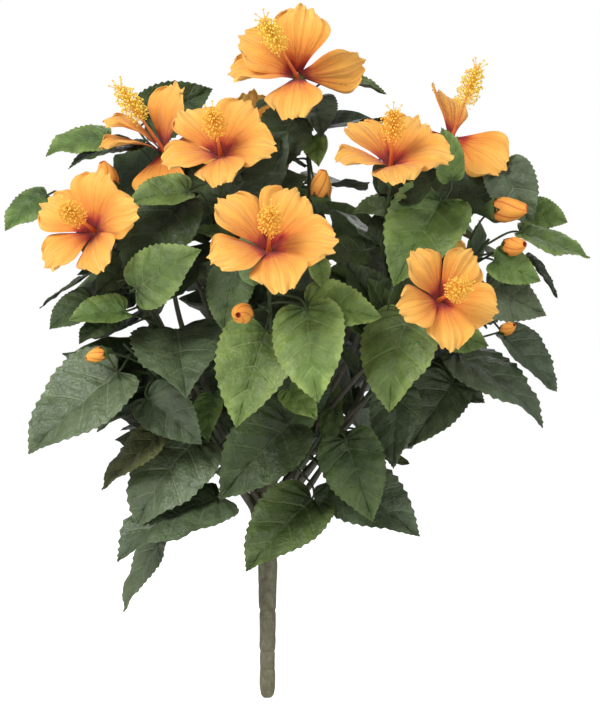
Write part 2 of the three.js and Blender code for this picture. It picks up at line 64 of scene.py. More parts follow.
# %% [markdown]
# A shader is wired from nodes. These helpers add a node, set or link its sockets, and give back
# the socket that carries on. Colours are written as they are seen on a screen, from 0 to 255.

# %% Shader helpers


def dye(red, green, blue):
    """A screen colour as the linear colour that a shader works in."""
    return (*(((c / 255 + 0.055) / 1.055) ** 2.4 if c > 10 else c / 3295 for c in (red, green, blue)), 1)


def connect(tree, node, sockets):
    """Set a node's sockets, or link those that are given another node's socket."""
    for name, value in sockets.items():
        if isinstance(value, bpy.types.NodeSocket):
            tree.links.new(value, node.inputs[name])
        else:
            node.inputs[name].default_value = value


def wire(tree, kind, sockets, output=0, **settings):
    node = tree.nodes.new(f"ShaderNode{kind}")
    for name, value in settings.items():
        setattr(node, name, value)
    connect(tree, node, sockets)
    return node.outputs[output]


def maths(tree, operation, first, second=0.0):
    return wire(tree, "Math", {0: first, 1: second}, operation=operation)


def times(tree, first, second):
    return maths(tree, "MULTIPLY", first, second)


def plus(tree, total, *more):
    for value in more:
        total = maths(tree, "ADD", total, value)
    return total


def ease(tree, value, start, end, low=0.0, high=1.0):
    """A value's smooth step from low to high between start and end."""
    return wire(tree, "MapRange", {"Value": value, "From Min": start, "From Max": end,
                                   "To Min": low, "To Max": high}, interpolation_type="SMOOTHSTEP")


def blend(tree, part, first, second):
    """Two colours mixed by a part from 0 to 1. A mix node's colour sockets are numbers 6 and 7."""
    return wire(tree, "Mix", {0: part, 6: first, 7: second}, output=2, data_type="RGBA")


def colour_ramp(tree, value, stops):
    """A colour read from a row of places and screen colours."""
    node = tree.nodes.new("ShaderNodeValToRGB")
    row = node.color_ramp.elements
    row[0].position, row[0].color = stops[0][0], dye(*stops[0][1])
    row[1].position, row[1].color = stops[-1][0], dye(*stops[-1][1])
    for place, colour in stops[1:-1]:
        row.new(place).color = dye(*colour)
    connect(tree, node, {0: value})
    return node.outputs[0]


def relief(tree, height, strength, distance, **under):
    """A surface that looks raised by a height, over another such surface if one is given."""
    return wire(tree, "Bump", {"Height": height, "Strength": strength, "Distance": distance, **under})


def marked(tree, name):
    """The number that each point of a piece is marked with."""
    return wire(tree, "Attribute", {}, output=2, attribute_name=name)


def group_of(name, inputs, outputs):
    """A new shader node group with these sockets, given as names and kinds."""
    tree = bpy.data.node_groups.new(name, "ShaderNodeTree")
    for way, sockets in (("INPUT", inputs), ("OUTPUT", outputs)):
        for label, kind in sockets.items():
            tree.interface.new_socket(label, in_out=way, socket_type=f"NodeSocket{kind}")
    return tree, tree.nodes.new("NodeGroupInput"), tree.nodes.new("NodeGroupOutput")


def placed_group(tree, group, sockets):
    node = tree.nodes.new("ShaderNodeGroup")
    node.node_tree = group
    connect(tree, node, sockets)
    return node.outputs


def material(name):
    made = bpy.data.materials.new(name)
    made.use_nodes = True
    tree = made.node_tree
    return made, tree, tree.nodes["Principled BSDF"]


print("white is", dye(255, 255, 255)[:3])

# %% [markdown]
# Product light is soft and comes from nearly everywhere. A pale sky gives the even part, a
# large key panel above on the left gives the shapes their light and dark sides, and a weaker
# one on the right keeps the shadows open. The camera itself sees a plain white sky, and a paper
# floor that glows a little for it alone, so that it looks as white.

# %% Light and floor
SKY = (0.96, 0.97, 1.0)
SKY_STRENGTH = 0.42
PANELS = [  # place, size and strength in watts
    ((-1.3, -1.9, 1.9), 1.2, 62),
    ((1.7, -1.5, 0.9), 1.6, 12),
    ((0.3, 1.9, 1.6), 1.4, 14),
]
PANEL_AIM = Vector((0, 0, 0.33))
PAPER, PAPER_GLOW = (0.9, 0.9, 0.9, 1), 0.7

world = bpy.data.worlds.new("studio_sky")
bpy.context.scene.world = world
world.use_nodes = True
sky = world.node_tree
sky.nodes.clear()
seen = wire(sky, "Background", {"Color": (1, 1, 1, 1)})
lit = wire(sky, "Background", {"Color": (*SKY, 1), "Strength": SKY_STRENGTH})
by_ray = wire(sky, "MixShader", {0: wire(sky, "LightPath", {}), 1: lit, 2: seen})
connect(sky, sky.nodes.new("ShaderNodeOutputWorld"), {"Surface": by_ray})

for place, size, watts in PANELS:
    aim = (PANEL_AIM - Vector(place)).to_track_quat("-Z", "Y").to_euler()
    bpy.ops.object.light_add(type="AREA", location=place, rotation=aim)
    panel = bpy.context.object
    panel.data.size = size
    panel.data.energy = watts

bpy.ops.mesh.primitive_circle_add(vertices=96, radius=12, fill_type="NGON")
floor = bpy.context.object
floor.name = "floor"
paper, tree, shader = material("paper_floor")
glow = times(tree, wire(tree, "LightPath", {}), PAPER_GLOW)
connect(tree, shader, {"Base Color": PAPER, "Roughness": 0.9, "Emission Color": (1, 1, 1, 1),
                       "Emission Strength": glow})
floor.data.materials.append(paper)
print("panels", len(PANELS))

# %% [markdown]
# The bush grows by one rule, the same that made its solids. A few small vector helpers write
# it plainly. They work on ordinary double numbers, so that every choice falls the same way.

# %% Vectors and seeded numbers
UP = np.array([0.0, 0.0, 1.0])
ASIDE = np.array([1.0, 0.0, 0.0])
WORD = 0xFFFFFFFF


def vec(x, y, z):
    return np.array([x, y, z], float)


def unit(way):
    return way / math.sqrt(way @ way)


def towards(start, end):
    return unit(end - start)


def square(way, axis):
    """The part of a direction that is square to an axis."""
    return unit(way - axis * (way @ axis))


def turned(way, axis, degrees):
    """A direction turned about an axis by the right-hand rule."""
    angle = math.radians(degrees)
    along = axis * (axis @ way) * (1 - math.cos(angle))
    return way * math.cos(angle) + np.cross(axis, way) * math.sin(angle) + along


def between(low, high, part):
    return low + (high - low) * part


def clock_way(clock, back=0.0):
    """A direction given as an angle on a clock face seen from the front."""
    return unit(vec(math.cos(math.radians(clock)), back, math.sin(math.radians(clock))))


def seeded(seed):
    """Numbers from 0 to 1 that come out the same each time, on 32-bit whole numbers."""
    state = seed

    def draw():
        nonlocal state
        state = (state + 0x6D2B79F5) & WORD
        t = ((state ^ state >> 15) * (1 | state)) & WORD
        t = ((t + (t ^ t >> 7) * (61 | t)) ^ t) & WORD
        return (t ^ t >> 14) / (WORD + 1)

    return draw


print("first seeded numbers", [round(seeded(1000)(), 6)])

# %% [markdown]
# Each spray is one row, in millimetres: where its twig starts and ends, the bloom at its end, its
# leading leaves and its buds. A bloom has the way it faces, its turn and its size. One seen from
# the side has a row for each petal too: its angle on a clock face, how far it leans back and its
# roll. A leaf has its place along the twig, its base, its tip, its roll and its cloth: d dark,
# m middle, g grey-green, o olive, b bright, l light. A bud has its middle, the way it points and
# its length. The sprays at the back have only seeded leaves, and fill says how many of them
# the solids may have.

# %% The sprays
# A leaf's cloth is partly its own tone and partly painted light and shade: some leaves that lie in shade,
# as on the lower right, are given a lighter cloth to brighten them.
SPRAYS = [
    dict(name="top", foot=(38, -25, 430), end=(34, -48, 533),
         bloom=(-0.4, -0.68, 0.62, -5, 1),
         petals=[(82, 0.35, 0), (20, 0, 62), (-95, -0.55, 0), (192, -0.1, 15), (152, 0, -10)],
         leaves=[(0.95, (53, -45, 541), (104, -50, 530), -34, "m"),
                 (0.9, (41, -28, 527), (47, -62, 492), 0, "g"),
                 (0.7, (22, -48, 510), (-1, -66, 453), 0, "d"),
                 (0.5, (40, -45, 494), (45, -58, 467), 0, "l"),
                 (0.8, (9, -20, 529), (-12, -24, 517), 40, "d")],
         buds=[(47, -72, 449, 0.1, -0.2, 1, 30)]),
    dict(name="upper_left", foot=(-84, -30, 405), end=(-79, -42, 467),
         bloom=(-0.53, -0.4, 0.75, -26, 0.95),
         petals=[(62, 0.1, -40), (170, -0.1, 35), (198, -0.3, 35), (268, -0.25, 5), (-15, 0.3, -20)],
         leaves=[(0.35, (-110, -46, 488), (-173, -50, 466), 50, "d"),
                 (0.6, (-139, -36, 495), (-193, -36, 477), 25, "l"),
                 (0.8, (-108, 4, 511), (-49, 4, 540), 30, "m")],
         buds=[(-137, -72, 458, -0.3, -0.3, 0.8, 28)]),
    dict(name="upper_middle", foot=(-45, -60, 395), end=(-36, -114, 460),
         bloom=(-0.1, -0.75, 0.6, -28, 0.86),
         leaves=[(0.9, (-75, -98, 435), (-115, -112, 357), 12, "d"),
                 (0.2, (-29, -92, 406), (-63, -104, 410), 20, "b"),
                 (0.5, (-35, -84, 440), (-68, -92, 426), 0, "d"),
                 (0.15, (-66, -120, 442), (-117, -122, 431), 20, "b")]),
    dict(name="left", foot=(-112, -50, 365), end=(-137, -95, 402),
         bloom=(-0.42, -0.85, 0.35, -5, 0.86),
         leaves=[(0.6, (-160, -58, 370), (-197, -62, 345), 55, "d"),
                 (0.85, (-191, -58, 442), (-226, -62, 411), 15, "l")]),
    dict(name="left_middle", foot=(-88, -70, 322), end=(-120, -98, 378),
         leaves=[(0.85, (-150, -78, 353), (-186, -84, 326), 10, "m"),
                 (0.4, (-120, -112, 341), (-167, -118, 333), 20, "l"),
                 (0.65, (-109, -126, 360), (-54, -140, 392), 15, "b"),
                 (0.15, (-133, -72, 336), (-161, -76, 313), 20, "d"),
                 (0.9, (-118, -62, 384), (-146, -70, 355), 0, "d")]),
    dict(name="left_low", foot=(-78, -55, 268), end=(-122, -96, 314),
         leaves=[(0.15, (-94, -72, 236), (-142, -82, 189), 34, "o"),
                 (0.4, (-102, -84, 267), (-55, -100, 228), 0, "g"),
                 (0.8, (-126, -106, 289), (-201, -112, 220), 12, "g"),
                 (0.5, (-77, -72, 325), (-66, -158, 268), 0, "g"),
                 (0.2, (-47, -66, 269), (-50, -78, 229), 35, "l")],
         buds=[(-143, -125, 304, -0.8, -0.4, -0.3, 20)]),
    dict(name="low_left", foot=(-26, -22, 196), end=(-60, -66, 252),
         leaves=[(0.6, (-96, -22, 141), (-127, -26, 79), 46, "g"),
                 (0.7, (-63, -62, 230), (-112, -74, 155), 10, "g"),
                 (0.15, (-43, -64, 181), (-127, -84, 126), 33, "g")]),
    dict(name="low_middle", foot=(8, -34, 206), end=(28, -100, 262),
         leaves=[(0.2, (39, -66, 179), (-17, -92, 119), 10, "m"),
                 (0.9, (19, -106, 245), (-39, -122, 182), 0, "d")]),
    dict(name="low_right", foot=(30, -20, 206), end=(62, -66, 258),
         leaves=[(0.2, (57, -50, 194), (132, -64, 147), 0, "g"),
                 (0.8, (68, -84, 231), (91, -98, 162), 18, "m"),
                 (0.6, (58, -62, 255), (53, -70, 219), 40, "m")]),
    dict(name="centre", foot=(6, -85, 300), end=(2, -178, 379),
         bloom=(0.05, -0.8, 0.55, -26, 0.95),
         leaves=[(0.85, (-27, -124, 376), (-36, -140, 324), 10, "m"),
                 (0.5, (0, -152, 324), (-24, -178, 244), 0, "b"),
                 (0.7, (34, -174, 342), (44, -190, 265), 22, "l"),
                 (0.6, (35, -158, 345), (96, -172, 335), -5, "l"),
                 (0.9, (44, -150, 382), (48, -156, 359), 0, "l"),
                 (0.15, (19, -134, 275), (43, -146, 250), 0, "l")],
         buds=[(-19, -190, 338, -0.2, -0.95, -0.1, 28)]),
    dict(name="right_centre", foot=(92, -70, 300), end=(138, -137, 346),
         bloom=(0.35, -0.91, 0.2, -36, 0.8),
         leaves=[(0.6, (120, -122, 339), (104, -142, 256), 18, "b"),
                 (0.3, (101, -88, 336), (68, -84, 384), 0, "d")]),
    dict(name="upper_right", foot=(100, -50, 385), end=(105, -108, 449),
         bloom=(0.03, -0.62, 0.78, -31, 0.88),
         leaves=[(0.6, (149, -84, 436), (108, -118, 362), -5, "l"),
                 (0.5, (132, -58, 433), (74, -62, 426), 18, "m"),
                 (0.9, (104, -44, 507), (75, -44, 505), 50, "d"),
                 (0.4, (146, -26, 454), (204, -38, 432), 20, "d"),
                 (0.15, (159, -80, 456), (150, -84, 499), 35, "l")]),
    dict(name="right_low", foot=(82, -34, 262), end=(152, -66, 335),
         leaves=[(0.3, (113, -74, 272), (108, -90, 207), 30, "g"),
                 (0.6, (160, -66, 279), (122, -80, 224), 0, "g"),
                 (0.5, (138, -44, 287), (189, -52, 262), 0, "g"),
                 (0.9, (164, -86, 306), (236, -96, 242), -32, "g"),
                 (0.8, (154, -98, 324), (189, -108, 312), 15, "l")],
         buds=[(208, -75, 327, 0.5, -0.7, 0.3, 18)]),
    dict(name="far_right", foot=(132, -4, 400), end=(156, -14, 477),
         bloom=(0.3, -0.42, 0.85, -20, 0.95),
         petals=[(-38, -0.1, 8), (150, 0.1, -95), (118, 1.2, 40), (-150, 0.6, -20), (-80, 1.4, 15)],
         leaves=[(0.15, (206, -40, 469), (230, -42, 416), 10, "g"),
                 (0.5, (230, -8, 432), (265, -9, 421), 20, "l")]),
    dict(name="right", foot=(148, -30, 345), end=(192, -66, 404),
         leaves=[(0.3, (207, -50, 321), (251, -56, 272), -35, "g"),
                 (0.5, (191, -58, 363), (241, -72, 338), 30, "g"),
                 (0.75, (226, -52, 388), (252, -52, 353), -62, "d"),
                 (0.65, (196, -92, 385), (235, -98, 367), 12, "l"),
                 (0.9, (220, -62, 410), (280, -63, 389), -38, "b")],
         buds=[(207, -72, 429, 0.95, -0.2, 0.05, 36), (212, -94, 397, 0.6, -0.7, 0.1, 26)]),
    dict(name="back_right", fill=7, foot=(98, 64, 276), end=(130, 114, 322),
         bloom=(0.4, 0.85, 0.35, 10, 0.86)),
    dict(name="back_upper_right", fill=7, foot=(88, 62, 346), end=(124, 110, 388),
         bloom=(0.4, 0.8, 0.35, 30, 0.9)),
    dict(name="back_top", fill=7, foot=(4, 40, 420), end=(-18, 76, 474),
         bloom=(-0.1, 0.75, 0.6, 0, 1)),
    dict(name="back_upper_left", fill=7, foot=(-66, 60, 372), end=(-96, 104, 424),
         bloom=(-0.4, 0.75, 0.5, 15, 1)),
    dict(name="back_left", fill=7, foot=(-76, 66, 232), end=(-82, 116, 260),
         bloom=(-0.4, 0.87, 0.2, -20, 0.85)),
    dict(name="back_middle", fill=8, foot=(6, 98, 320), end=(0, 158, 372),
         bloom=(0, 0.85, 0.5, 20, 1)),
    dict(name="back_low_right", fill=7, foot=(60, 62, 226), end=(100, 110, 270)),
    dict(name="back_low_middle", fill=7, foot=(2, 60, 208), end=(-6, 116, 248)),
    dict(name="back_low_left", fill=7, foot=(-56, 58, 226), end=(-98, 104, 268)),
]

for index, spray in enumerate(SPRAYS):
    foot, end = vec(*spray["foot"]), vec(*spray["end"])
    spray.update(index=index, node=f"spray_{spray['name']}", foot=foot, end=end,
                 middle=foot + (end - foot) * 0.5, lean=towards(foot, end))
spray_nodes = [spray["node"] for spray in SPRAYS]
print("sprays", len(SPRAYS), "blooms", sum("bloom" in spray for spray in SPRAYS))

# %% [markdown]
# To grow leaves that keep clear of each other, the rule compares simple outlines: lofts
# through rings of a few points. Each is kept as its edges and, a little grown, as its
# triangles. Two pieces touch where an edge of one runs through a triangle of the other.

# %% Simple outlines
GAP = 0.3
CLEAR = 0.5


def loft(rings):
    """Points and faces of a closed skin through rings; a ring of one point is a tip."""
    faces, start = [], 0
    for ring, after in zip(rings, rings[1:]):
        here, there = len(ring), len(after)
        for k in range(max(here, there)):
            a, b = start + k % here, start + (k + 1) % here
            c, d = start + here + k % there, start + here + (k + 1) % there
            if here > 1:
                faces.append((a, b, d))
            if there > 1:
                faces.append((a, d, c))
        start += here
    for first, count in ((0, len(rings[0])), (start, len(rings[-1]))):
        faces += [(first + 1, first + k, first + (k + 1) % count) for k in range(2, count)]
    return np.concatenate(rings), np.array(faces)


def tube(path, radii, sides):
    chord = towards(path[0], path[-1])
    side = square(ASIDE if abs(chord[2]) > 0.9 else UP, chord)
    rings = []
    for i, (point, radius) in enumerate(zip(path, radii)):
        if radius == 0:
            rings.append(np.array([point]))
            continue
        way = towards(path[max(i - 1, 0)], path[min(i + 1, len(path) - 1)])
        across = square(side, way)
        over = np.cross(way, across)
        turns = [2 * math.pi * k / sides for k in range(sides)]
        rings.append(np.array([point + across * (math.cos(turn) * radius) + over * (math.sin(turn) * radius)
                               for turn in turns]))
    return loft(rings)


def spindle(start, way, rows, sides):
    return tube([start + way * far for far, _ in rows], [radius for _, radius in rows], sides)


def blade(rows, face, fold):
    rings = []
    for i, (point, wide, thick) in enumerate(rows):
        if wide == 0:
            rings.append(np.array([point]))
            continue
        way = towards(rows[max(i - 1, 0)][0], rows[min(i + 1, len(rows) - 1)][0])
        out = square(face, way)
        side = np.cross(out, way)
        rings.append(np.array([point + side * wide + out * wide * fold, point + out * thick,
                               point - side * wide + out * wide * fold, point - out * thick]))
    return loft(rings)


def edges_of(points, faces):
    pairs = {(min(a, b), max(a, b)) for face in faces for a, b in zip(face, np.roll(face, -1))}
    return points[np.array(sorted(pairs))]


class Outline:
    """What a piece is compared by: its edges, its grown triangles and the boxes round them."""

    def __init__(self, kind, owner, make):
        self.kind, self.owner = kind, owner
        points, faces = make(0)
        self.edges = edges_of(points, faces)
        self.low, self.high = points.min(0).tolist(), points.max(0).tolist()
        grown, faces = make(CLEAR)
        self.triangles = grown[faces]
        self.grown_low, self.grown_high = grown.min(0).tolist(), grown.max(0).tolist()


def boxes_meet(low, high, other_low, other_high):
    return all(a <= d and c <= b for a, b, c, d in zip(low, high, other_low, other_high))


def crosses(edges, triangles):
    """Whether any edge runs through any triangle."""
    start, corner = edges[:, 0][:, None], triangles[:, 0][None]
    run = edges[:, 1][:, None] - start
    ab, ac = triangles[:, 1][None] - corner, triangles[:, 2][None] - corner
    normal = np.cross(run, ac)
    size = (normal * ab).sum(-1)
    flat = np.abs(size) < 1e-9
    size = np.where(flat, 1, size)
    away = start - corner
    swept = np.cross(away, ab)
    first = (away * normal).sum(-1) / size
    second = (run * swept).sum(-1) / size
    far = (ac * swept).sum(-1) / size
    inside = (first >= 0) & (second >= 0) & (first + second <= 1)
    return bool((~flat & inside & (far >= 0) & (far <= 1)).any())


def touches(one, other):
    for a, b in ((one, other), (other, one)):
        if boxes_meet(a.low, a.high, b.grown_low, b.grown_high) and crosses(a.edges, b.triangles):
            return True
    return False


placed = []


def clear_of(piece, test):
    return not any(test(other) and touches(piece, other) for other in placed)


# %% [markdown]
# From the lowest spray up, each bough starts on the stem where it is first clear of those
# before it. It rises and leans out on one smooth curve and ends in line with its twig.

# %% Boughs
STEM_TOP, STEM_FORK = 262, 168
STEM_FORK_RADIUS, STEM_TIP_RADIUS = 10.4, 4.6
BOUGH_RADIUS, BOUGH_TIP_RADIUS = 3.1, 2.0
BOUGH_SIDES, BOUGH_SPANS = 5, 5
LOWEST_BOUGH, BOUGH_STEP = 150, 2.5
BOUGH_SINK, BOUGH_RISE, BOUGH_LANDING = 4.5, 0.2, 0.35


def bough_curve(spray, height):
    """The four points that steer a bough's curve."""
    foot = spray["foot"]
    out = unit(vec(foot[0], foot[1], 0))
    part = max(height - STEM_FORK, 0) / (STEM_TOP - STEM_FORK)
    start = vec(0, 0, height) + out * (between(STEM_FORK_RADIUS, STEM_TIP_RADIUS, part) - BOUGH_SINK)
    run = math.dist(start, foot)
    rise = start + out * (run * BOUGH_RISE) + UP * (run * BOUGH_RISE)
    return start, rise, foot - spray["lean"] * (run * BOUGH_LANDING), foot


def on_curve(points, t):
    a, b, c, d = points
    s = 1 - t
    return a * s**3 + b * (3 * s * s * t) + c * (3 * s * t * t) + d * t**3


def bough_outline(curve, grown):
    parts = [i / BOUGH_SPANS for i in range(BOUGH_SPANS + 1)]
    radii = [between(BOUGH_RADIUS, BOUGH_TIP_RADIUS, part) + grown for part in parts]
    return tube([on_curve(curve, part) for part in parts], radii, BOUGH_SIDES)


for spray in sorted(SPRAYS, key=lambda spray: spray["foot"][2]):
    for height in np.arange(LOWEST_BOUGH, STEM_TOP, BOUGH_STEP):
        curve = bough_curve(spray, height)
        limb = Outline("limb", f"bough_{spray['name']}", lambda grown: bough_outline(curve, grown))
        if clear_of(limb, lambda other: True):
            placed.append(limb)
            spray.update(bough=curve, height=height)
            break
print("boughs start from", min(s["height"] for s in SPRAYS), "to", max(s["height"] for s in SPRAYS), "mm")

# %% [markdown]
# Then come the twigs, the blooms and the buds. Five petals stand round a throat, and the
# calyx, the column and its brush of anthers are on one axis through it.

# %% Twigs, blooms and buds
TWIG_RADIUS, TWIG_TIP_RADIUS = 1.8, 1.3
STALK_RADIUS, STALK_ROOT = 1.0, 0.55
PETALS = 5
PETAL_REACH, PETAL_HALF_WIDTH, PETAL_THICKNESS = 58, 27, 1.3
PETAL_FLARE, PETAL_REFLEX, PETAL_FOLD = 25, 8, 0.1
PETAL_STATIONS = [(0.6, 0.94), (1, 0.62)]
THROAT_RADIUS, THROAT_DEPTH = 3.5, 4
CALYX_LENGTH, CALYX_RADIUS = 20, 6.5
COLUMN_LENGTH, COLUMN_RADIUS = 70, 1.6
BRUSH_FROM, BRUSH_RADIUS = 34, 10
BUD_GIRTH = 0.31
STALK_IN_BUD, STALK_BELOW_BUD, STALK_SAG = 0.4, 0.5, 0.3
LEADING_FACE = vec(0, -0.85, 0.5)


def petal_outline(throat, facing, spoke, size, grown):
    def point(t):
        forward = size * (PETAL_FLARE * t * (2 - t) - PETAL_REFLEX * t**3)
        return throat + spoke * (size * between(THROAT_RADIUS, PETAL_REACH, t)) + facing * forward

    thick = PETAL_THICKNESS / 2 + grown
    rows = [(point(t) + spoke * (t * grown), wide * size * PETAL_HALF_WIDTH + grown, thick)
            for t, wide in PETAL_STATIONS]
    return blade([(throat - facing * THROAT_DEPTH, 0, 0), *rows], facing, PETAL_FOLD)


def heart_outline(throat, facing, grown):
    rows = [(-2 - CALYX_LENGTH, COLUMN_RADIUS), (-CALYX_LENGTH / 2, CALYX_RADIUS), (2, THROAT_RADIUS),
            (BRUSH_FROM, COLUMN_RADIUS), (BRUSH_FROM + 8, BRUSH_RADIUS),
            (COLUMN_LENGTH - 8, BRUSH_RADIUS * 0.8)]
    rows = [(far, radius + grown) for far, radius in rows]
    return spindle(throat, facing, [*rows, (COLUMN_LENGTH + grown, 0)], 5)


def bud_outline(middle, way, length, grown):
    wide = length * BUD_GIRTH
    rows = [(-grown, wide * 0.4 + grown), (length * 0.3, wide + grown),
            (length * 0.68, wide * 0.84 + grown), (length + grown, 0)]
    return spindle(middle - way * length / 2, way, rows, 6)


def petal_ways(spray, facing, turn):
    """The way out and the face of each petal, by its own row or evenly round the throat."""
    if "petals" not in spray:
        upright = square(UP, facing)
        return [(turned(upright, facing, turn + k * 360 / PETALS), facing) for k in range(PETALS)]
    ways = []
    for clock, back, roll in spray["petals"]:
        spoke = clock_way(clock, back)
        ways.append((spoke, turned(square(LEADING_FACE, spoke), spoke, roll)))
    return ways


blooms, buds = [], []
for spray in SPRAYS:
    owner, end = spray["node"], spray["end"]
    twig = [spray["foot"] + spray["lean"] * GAP, end]
    placed.append(Outline("twig", owner,
                          lambda grown: tube(twig, [TWIG_RADIUS + grown, TWIG_TIP_RADIUS + grown], 3)))
    if "bloom" in spray:
        x, y, z, turn, size = spray["bloom"]
        facing = unit(vec(x, y, z))
        throat = end + facing * CALYX_LENGTH
        ways = petal_ways(spray, facing, turn)
        for spoke, face in ways:
            placed.append(Outline("petal", owner,
                                  lambda grown: petal_outline(throat, face, spoke, size, grown)))
        placed.append(Outline("petal", owner, lambda grown: heart_outline(throat, facing, grown)))
        blooms.append(dict(throat=throat, facing=facing, ways=ways, size=size, spray=spray))
    for x, y, z, to_x, to_y, to_z, length in spray.get("buds", []):
        middle, way = vec(x, y, z), unit(vec(to_x, to_y, to_z))
        root = spray["foot"] + (end - spray["foot"]) * STALK_ROOT
        bottom = middle - way * length * STALK_IN_BUD
        bend = bottom - way * length * STALK_BELOW_BUD
        bend = bend + (root - bend) * STALK_SAG
        placed.append(Outline("bud", owner, lambda grown: bud_outline(middle, way, length, grown)))
        placed.append(Outline("stalk", owner,
                              lambda grown: tube([root, bend, bottom], [STALK_RADIUS + grown] * 3, 3)))
        buds.append(dict(middle=middle, way=way, length=length, stalk=[root, bend, bottom]))
print("blooms", len(blooms), "buds", len(buds))

# %% [markdown]
# The leading leaves are the ones that the eye reads one by one. Where one would touch its
# neighbours it is moved in depth and rolled a little until it is clear.

# %% Leading leaves
PETIOLE_RADIUS, SHORTEST_PETIOLE = 1.1, 6
LEAF_WIDTH, LEAF_THICKNESS, LEAF_ARCH, LEAF_FOLD = 0.78, 0.022, 0.05, 0.16
LEAF_STATIONS = [(0.2, 0.95), (0.6, 0.8)]
DEPTH_SHIFTS = [0, 6, -6, 12, -12, 18, -18, 26, -26, 34, -34]
EXTRA_ROLLS = [0, 15, -15, 30, -30]

leaves = []


def leaf_outline(base, tip, face, grown):
    length, way = math.dist(base, tip), towards(base, tip)
    out = square(face, way)
    rows = [(base + way * (length * t) + out * (LEAF_ARCH * length * 4 * t * (1 - t)),
             wide * length * LEAF_WIDTH / 2 + grown, length * LEAF_THICKNESS / 2 + grown)
            for t, wide in LEAF_STATIONS]
    return blade([(base - way * grown, 0, 0), *rows, (tip + way * grown, 0, 0)], out, LEAF_FOLD)


def leaf_on(spray, root, base, tip, face):
    """A leaf from its base to its tip, with the petiole that carries it."""
    owner = spray["node"]
    made = dict(root=root, base=base, tip=tip, way=towards(base, tip), face=face,
                size=math.dist(base, tip), spray=spray)
    made["blade"] = Outline("leaf", owner, lambda grown: leaf_outline(base, tip, face, grown))
    made["petiole"] = Outline("petiole", owner,
                              lambda grown: tube([root, base], [PETIOLE_RADIUS + grown] * 2, 3))
    return made


def fits(made, spray):
    """Whether a leaf keeps clear, apart from the pieces of its own spray that it may be fused with."""
    fused, owner = ("twig", "petiole"), spray["node"]
    return (clear_of(made["blade"], lambda other: other.owner != owner or other.kind not in fused)
            and clear_of(made["petiole"], lambda other: other.owner != owner or other.kind == "petal"))


def keep(made, cloth):
    placed.extend([made["blade"], made["petiole"]])
    leaves.append(dict(made, cloth=cloth))


def place_leader(spray, along, start, stop, roll, cloth):
    root = spray["foot"] + (spray["end"] - spray["foot"]) * along
    for extra in EXTRA_ROLLS:
        for shift in DEPTH_SHIFTS:
            base, tip = vec(*start) + vec(0, shift, 0), vec(*stop) + vec(0, shift, 0)
            way = towards(base, tip)
            face = turned(square(LEADING_FACE, way), way, roll + extra)
            made = leaf_on(spray, root, base, tip, face)
            if fits(made, spray):
                keep(made, cloth)
                return


for spray in SPRAYS:
    for row in spray.get("leaves", []):
        place_leader(spray, *row)
leaders = len(leaves)
print("leading leaves", leaders)

# %% [markdown]
# Seeded leaves fill the crown. They step round each twig by the golden angle, inside the
# crown's own space, behind the leading leaves and off the gaps where the sky shows. A second
# round of smaller leaves, which the solids don't have, grows in the room that is left.

# %% Seeded leaves
CROWN_MIDDLE, CROWN_HALF = vec(10, -12, 338), vec(222, 212, 222)
FRONT_EYE = vec(29, -2600, 307)
SKY_GAPS = [(-78, 343, 9), (31, 477, 5), (64, 446, 8), (89, 447, 6),
            (39, 193, 10), (199, 412, 7), (82, 528, 14), (-25, 160, 8)]
FRONT_FILLERS, FILLER_TRIES, FILLER_SEED = 3, 60, 1000
FILLER_LEAVES, SHORTEST_LEAF = (58, 92), 42
FILLER_ROOTS, FILLER_ANGLES, FILLER_PETIOLES = (0.08, 0.85), (50, 100), (8, 30)
FILLER_DROOP, FILLER_ASLANT = 0.2, (-0.4, 0.4)
FACE_UP, FACE_OUT, EDGE_ON, GOLDEN_ANGLE = 0.7, 0.8, 0.9, 137.5
FILLER_CLOTHS = "ddmdgddmddbd"
YOUNG_LEAVES, SHORTEST_YOUNG, YOUNG_FRONT, YOUNG_BACK, YOUNG_SEED = (30, 50), 24, 4, 5, 2000

sky_lines = []
for x, z, wide in SKY_GAPS:
    through = vec(x, 0, z)
    line = np.array([[FRONT_EYE, through + towards(FRONT_EYE, through) * CROWN_HALF[1] * 2]])
    sky_lines.append((wide, line))


def filler(spray, turn, random, lengths, shortest):
    foot, end, lean = spray["foot"], spray["end"], spray["lean"]
    root = foot + (end - foot) * between(*FILLER_ROOTS, random())
    across = turned(square(UP, lean), lean, turn)
    opening = math.radians(between(*FILLER_ANGLES, random()))
    out = lean * math.cos(opening) + across * math.sin(opening)
    length = between(*lengths, random())
    tip = root + out * (length + between(*FILLER_PETIOLES, random())) - UP * (length * FILLER_DROOP)
    outward = unit(vec(tip[0], tip[1], 0))
    face = UP * FACE_UP + outward * FACE_OUT + ASIDE * between(*FILLER_ASLANT, random())
    way = towards(root, tip)
    in_crown = (((tip - CROWN_MIDDLE) / CROWN_HALF) ** 2).sum() <= 1
    in_front = "leaves" in spray and tip[1] < spray["middle"][1]
    if abs(way @ unit(face)) > EDGE_ON or in_front or not in_crown:
        return None
    size = min(length, math.dist(root, tip) - SHORTEST_PETIOLE)
    made = leaf_on(spray, root, tip - way * size, tip, face)
    for wide, line in sky_lines:
        points, faces = leaf_outline(made["base"], tip, face, wide)
        if crosses(line, points[faces]):
            return None
    return made if size >= shortest and fits(made, spray) else None


def fill(spray, seed, wanted, lengths, shortest):
    random = seeded(seed + spray["index"])
    turn = random() * 360
    for _ in range(FILLER_TRIES):
        if wanted == 0:
            break
        turn += GOLDEN_ANGLE
        made = filler(spray, turn, random, lengths, shortest)
        if made:
            keep(made, FILLER_CLOTHS[len(leaves) % len(FILLER_CLOTHS)])
            wanted -= 1


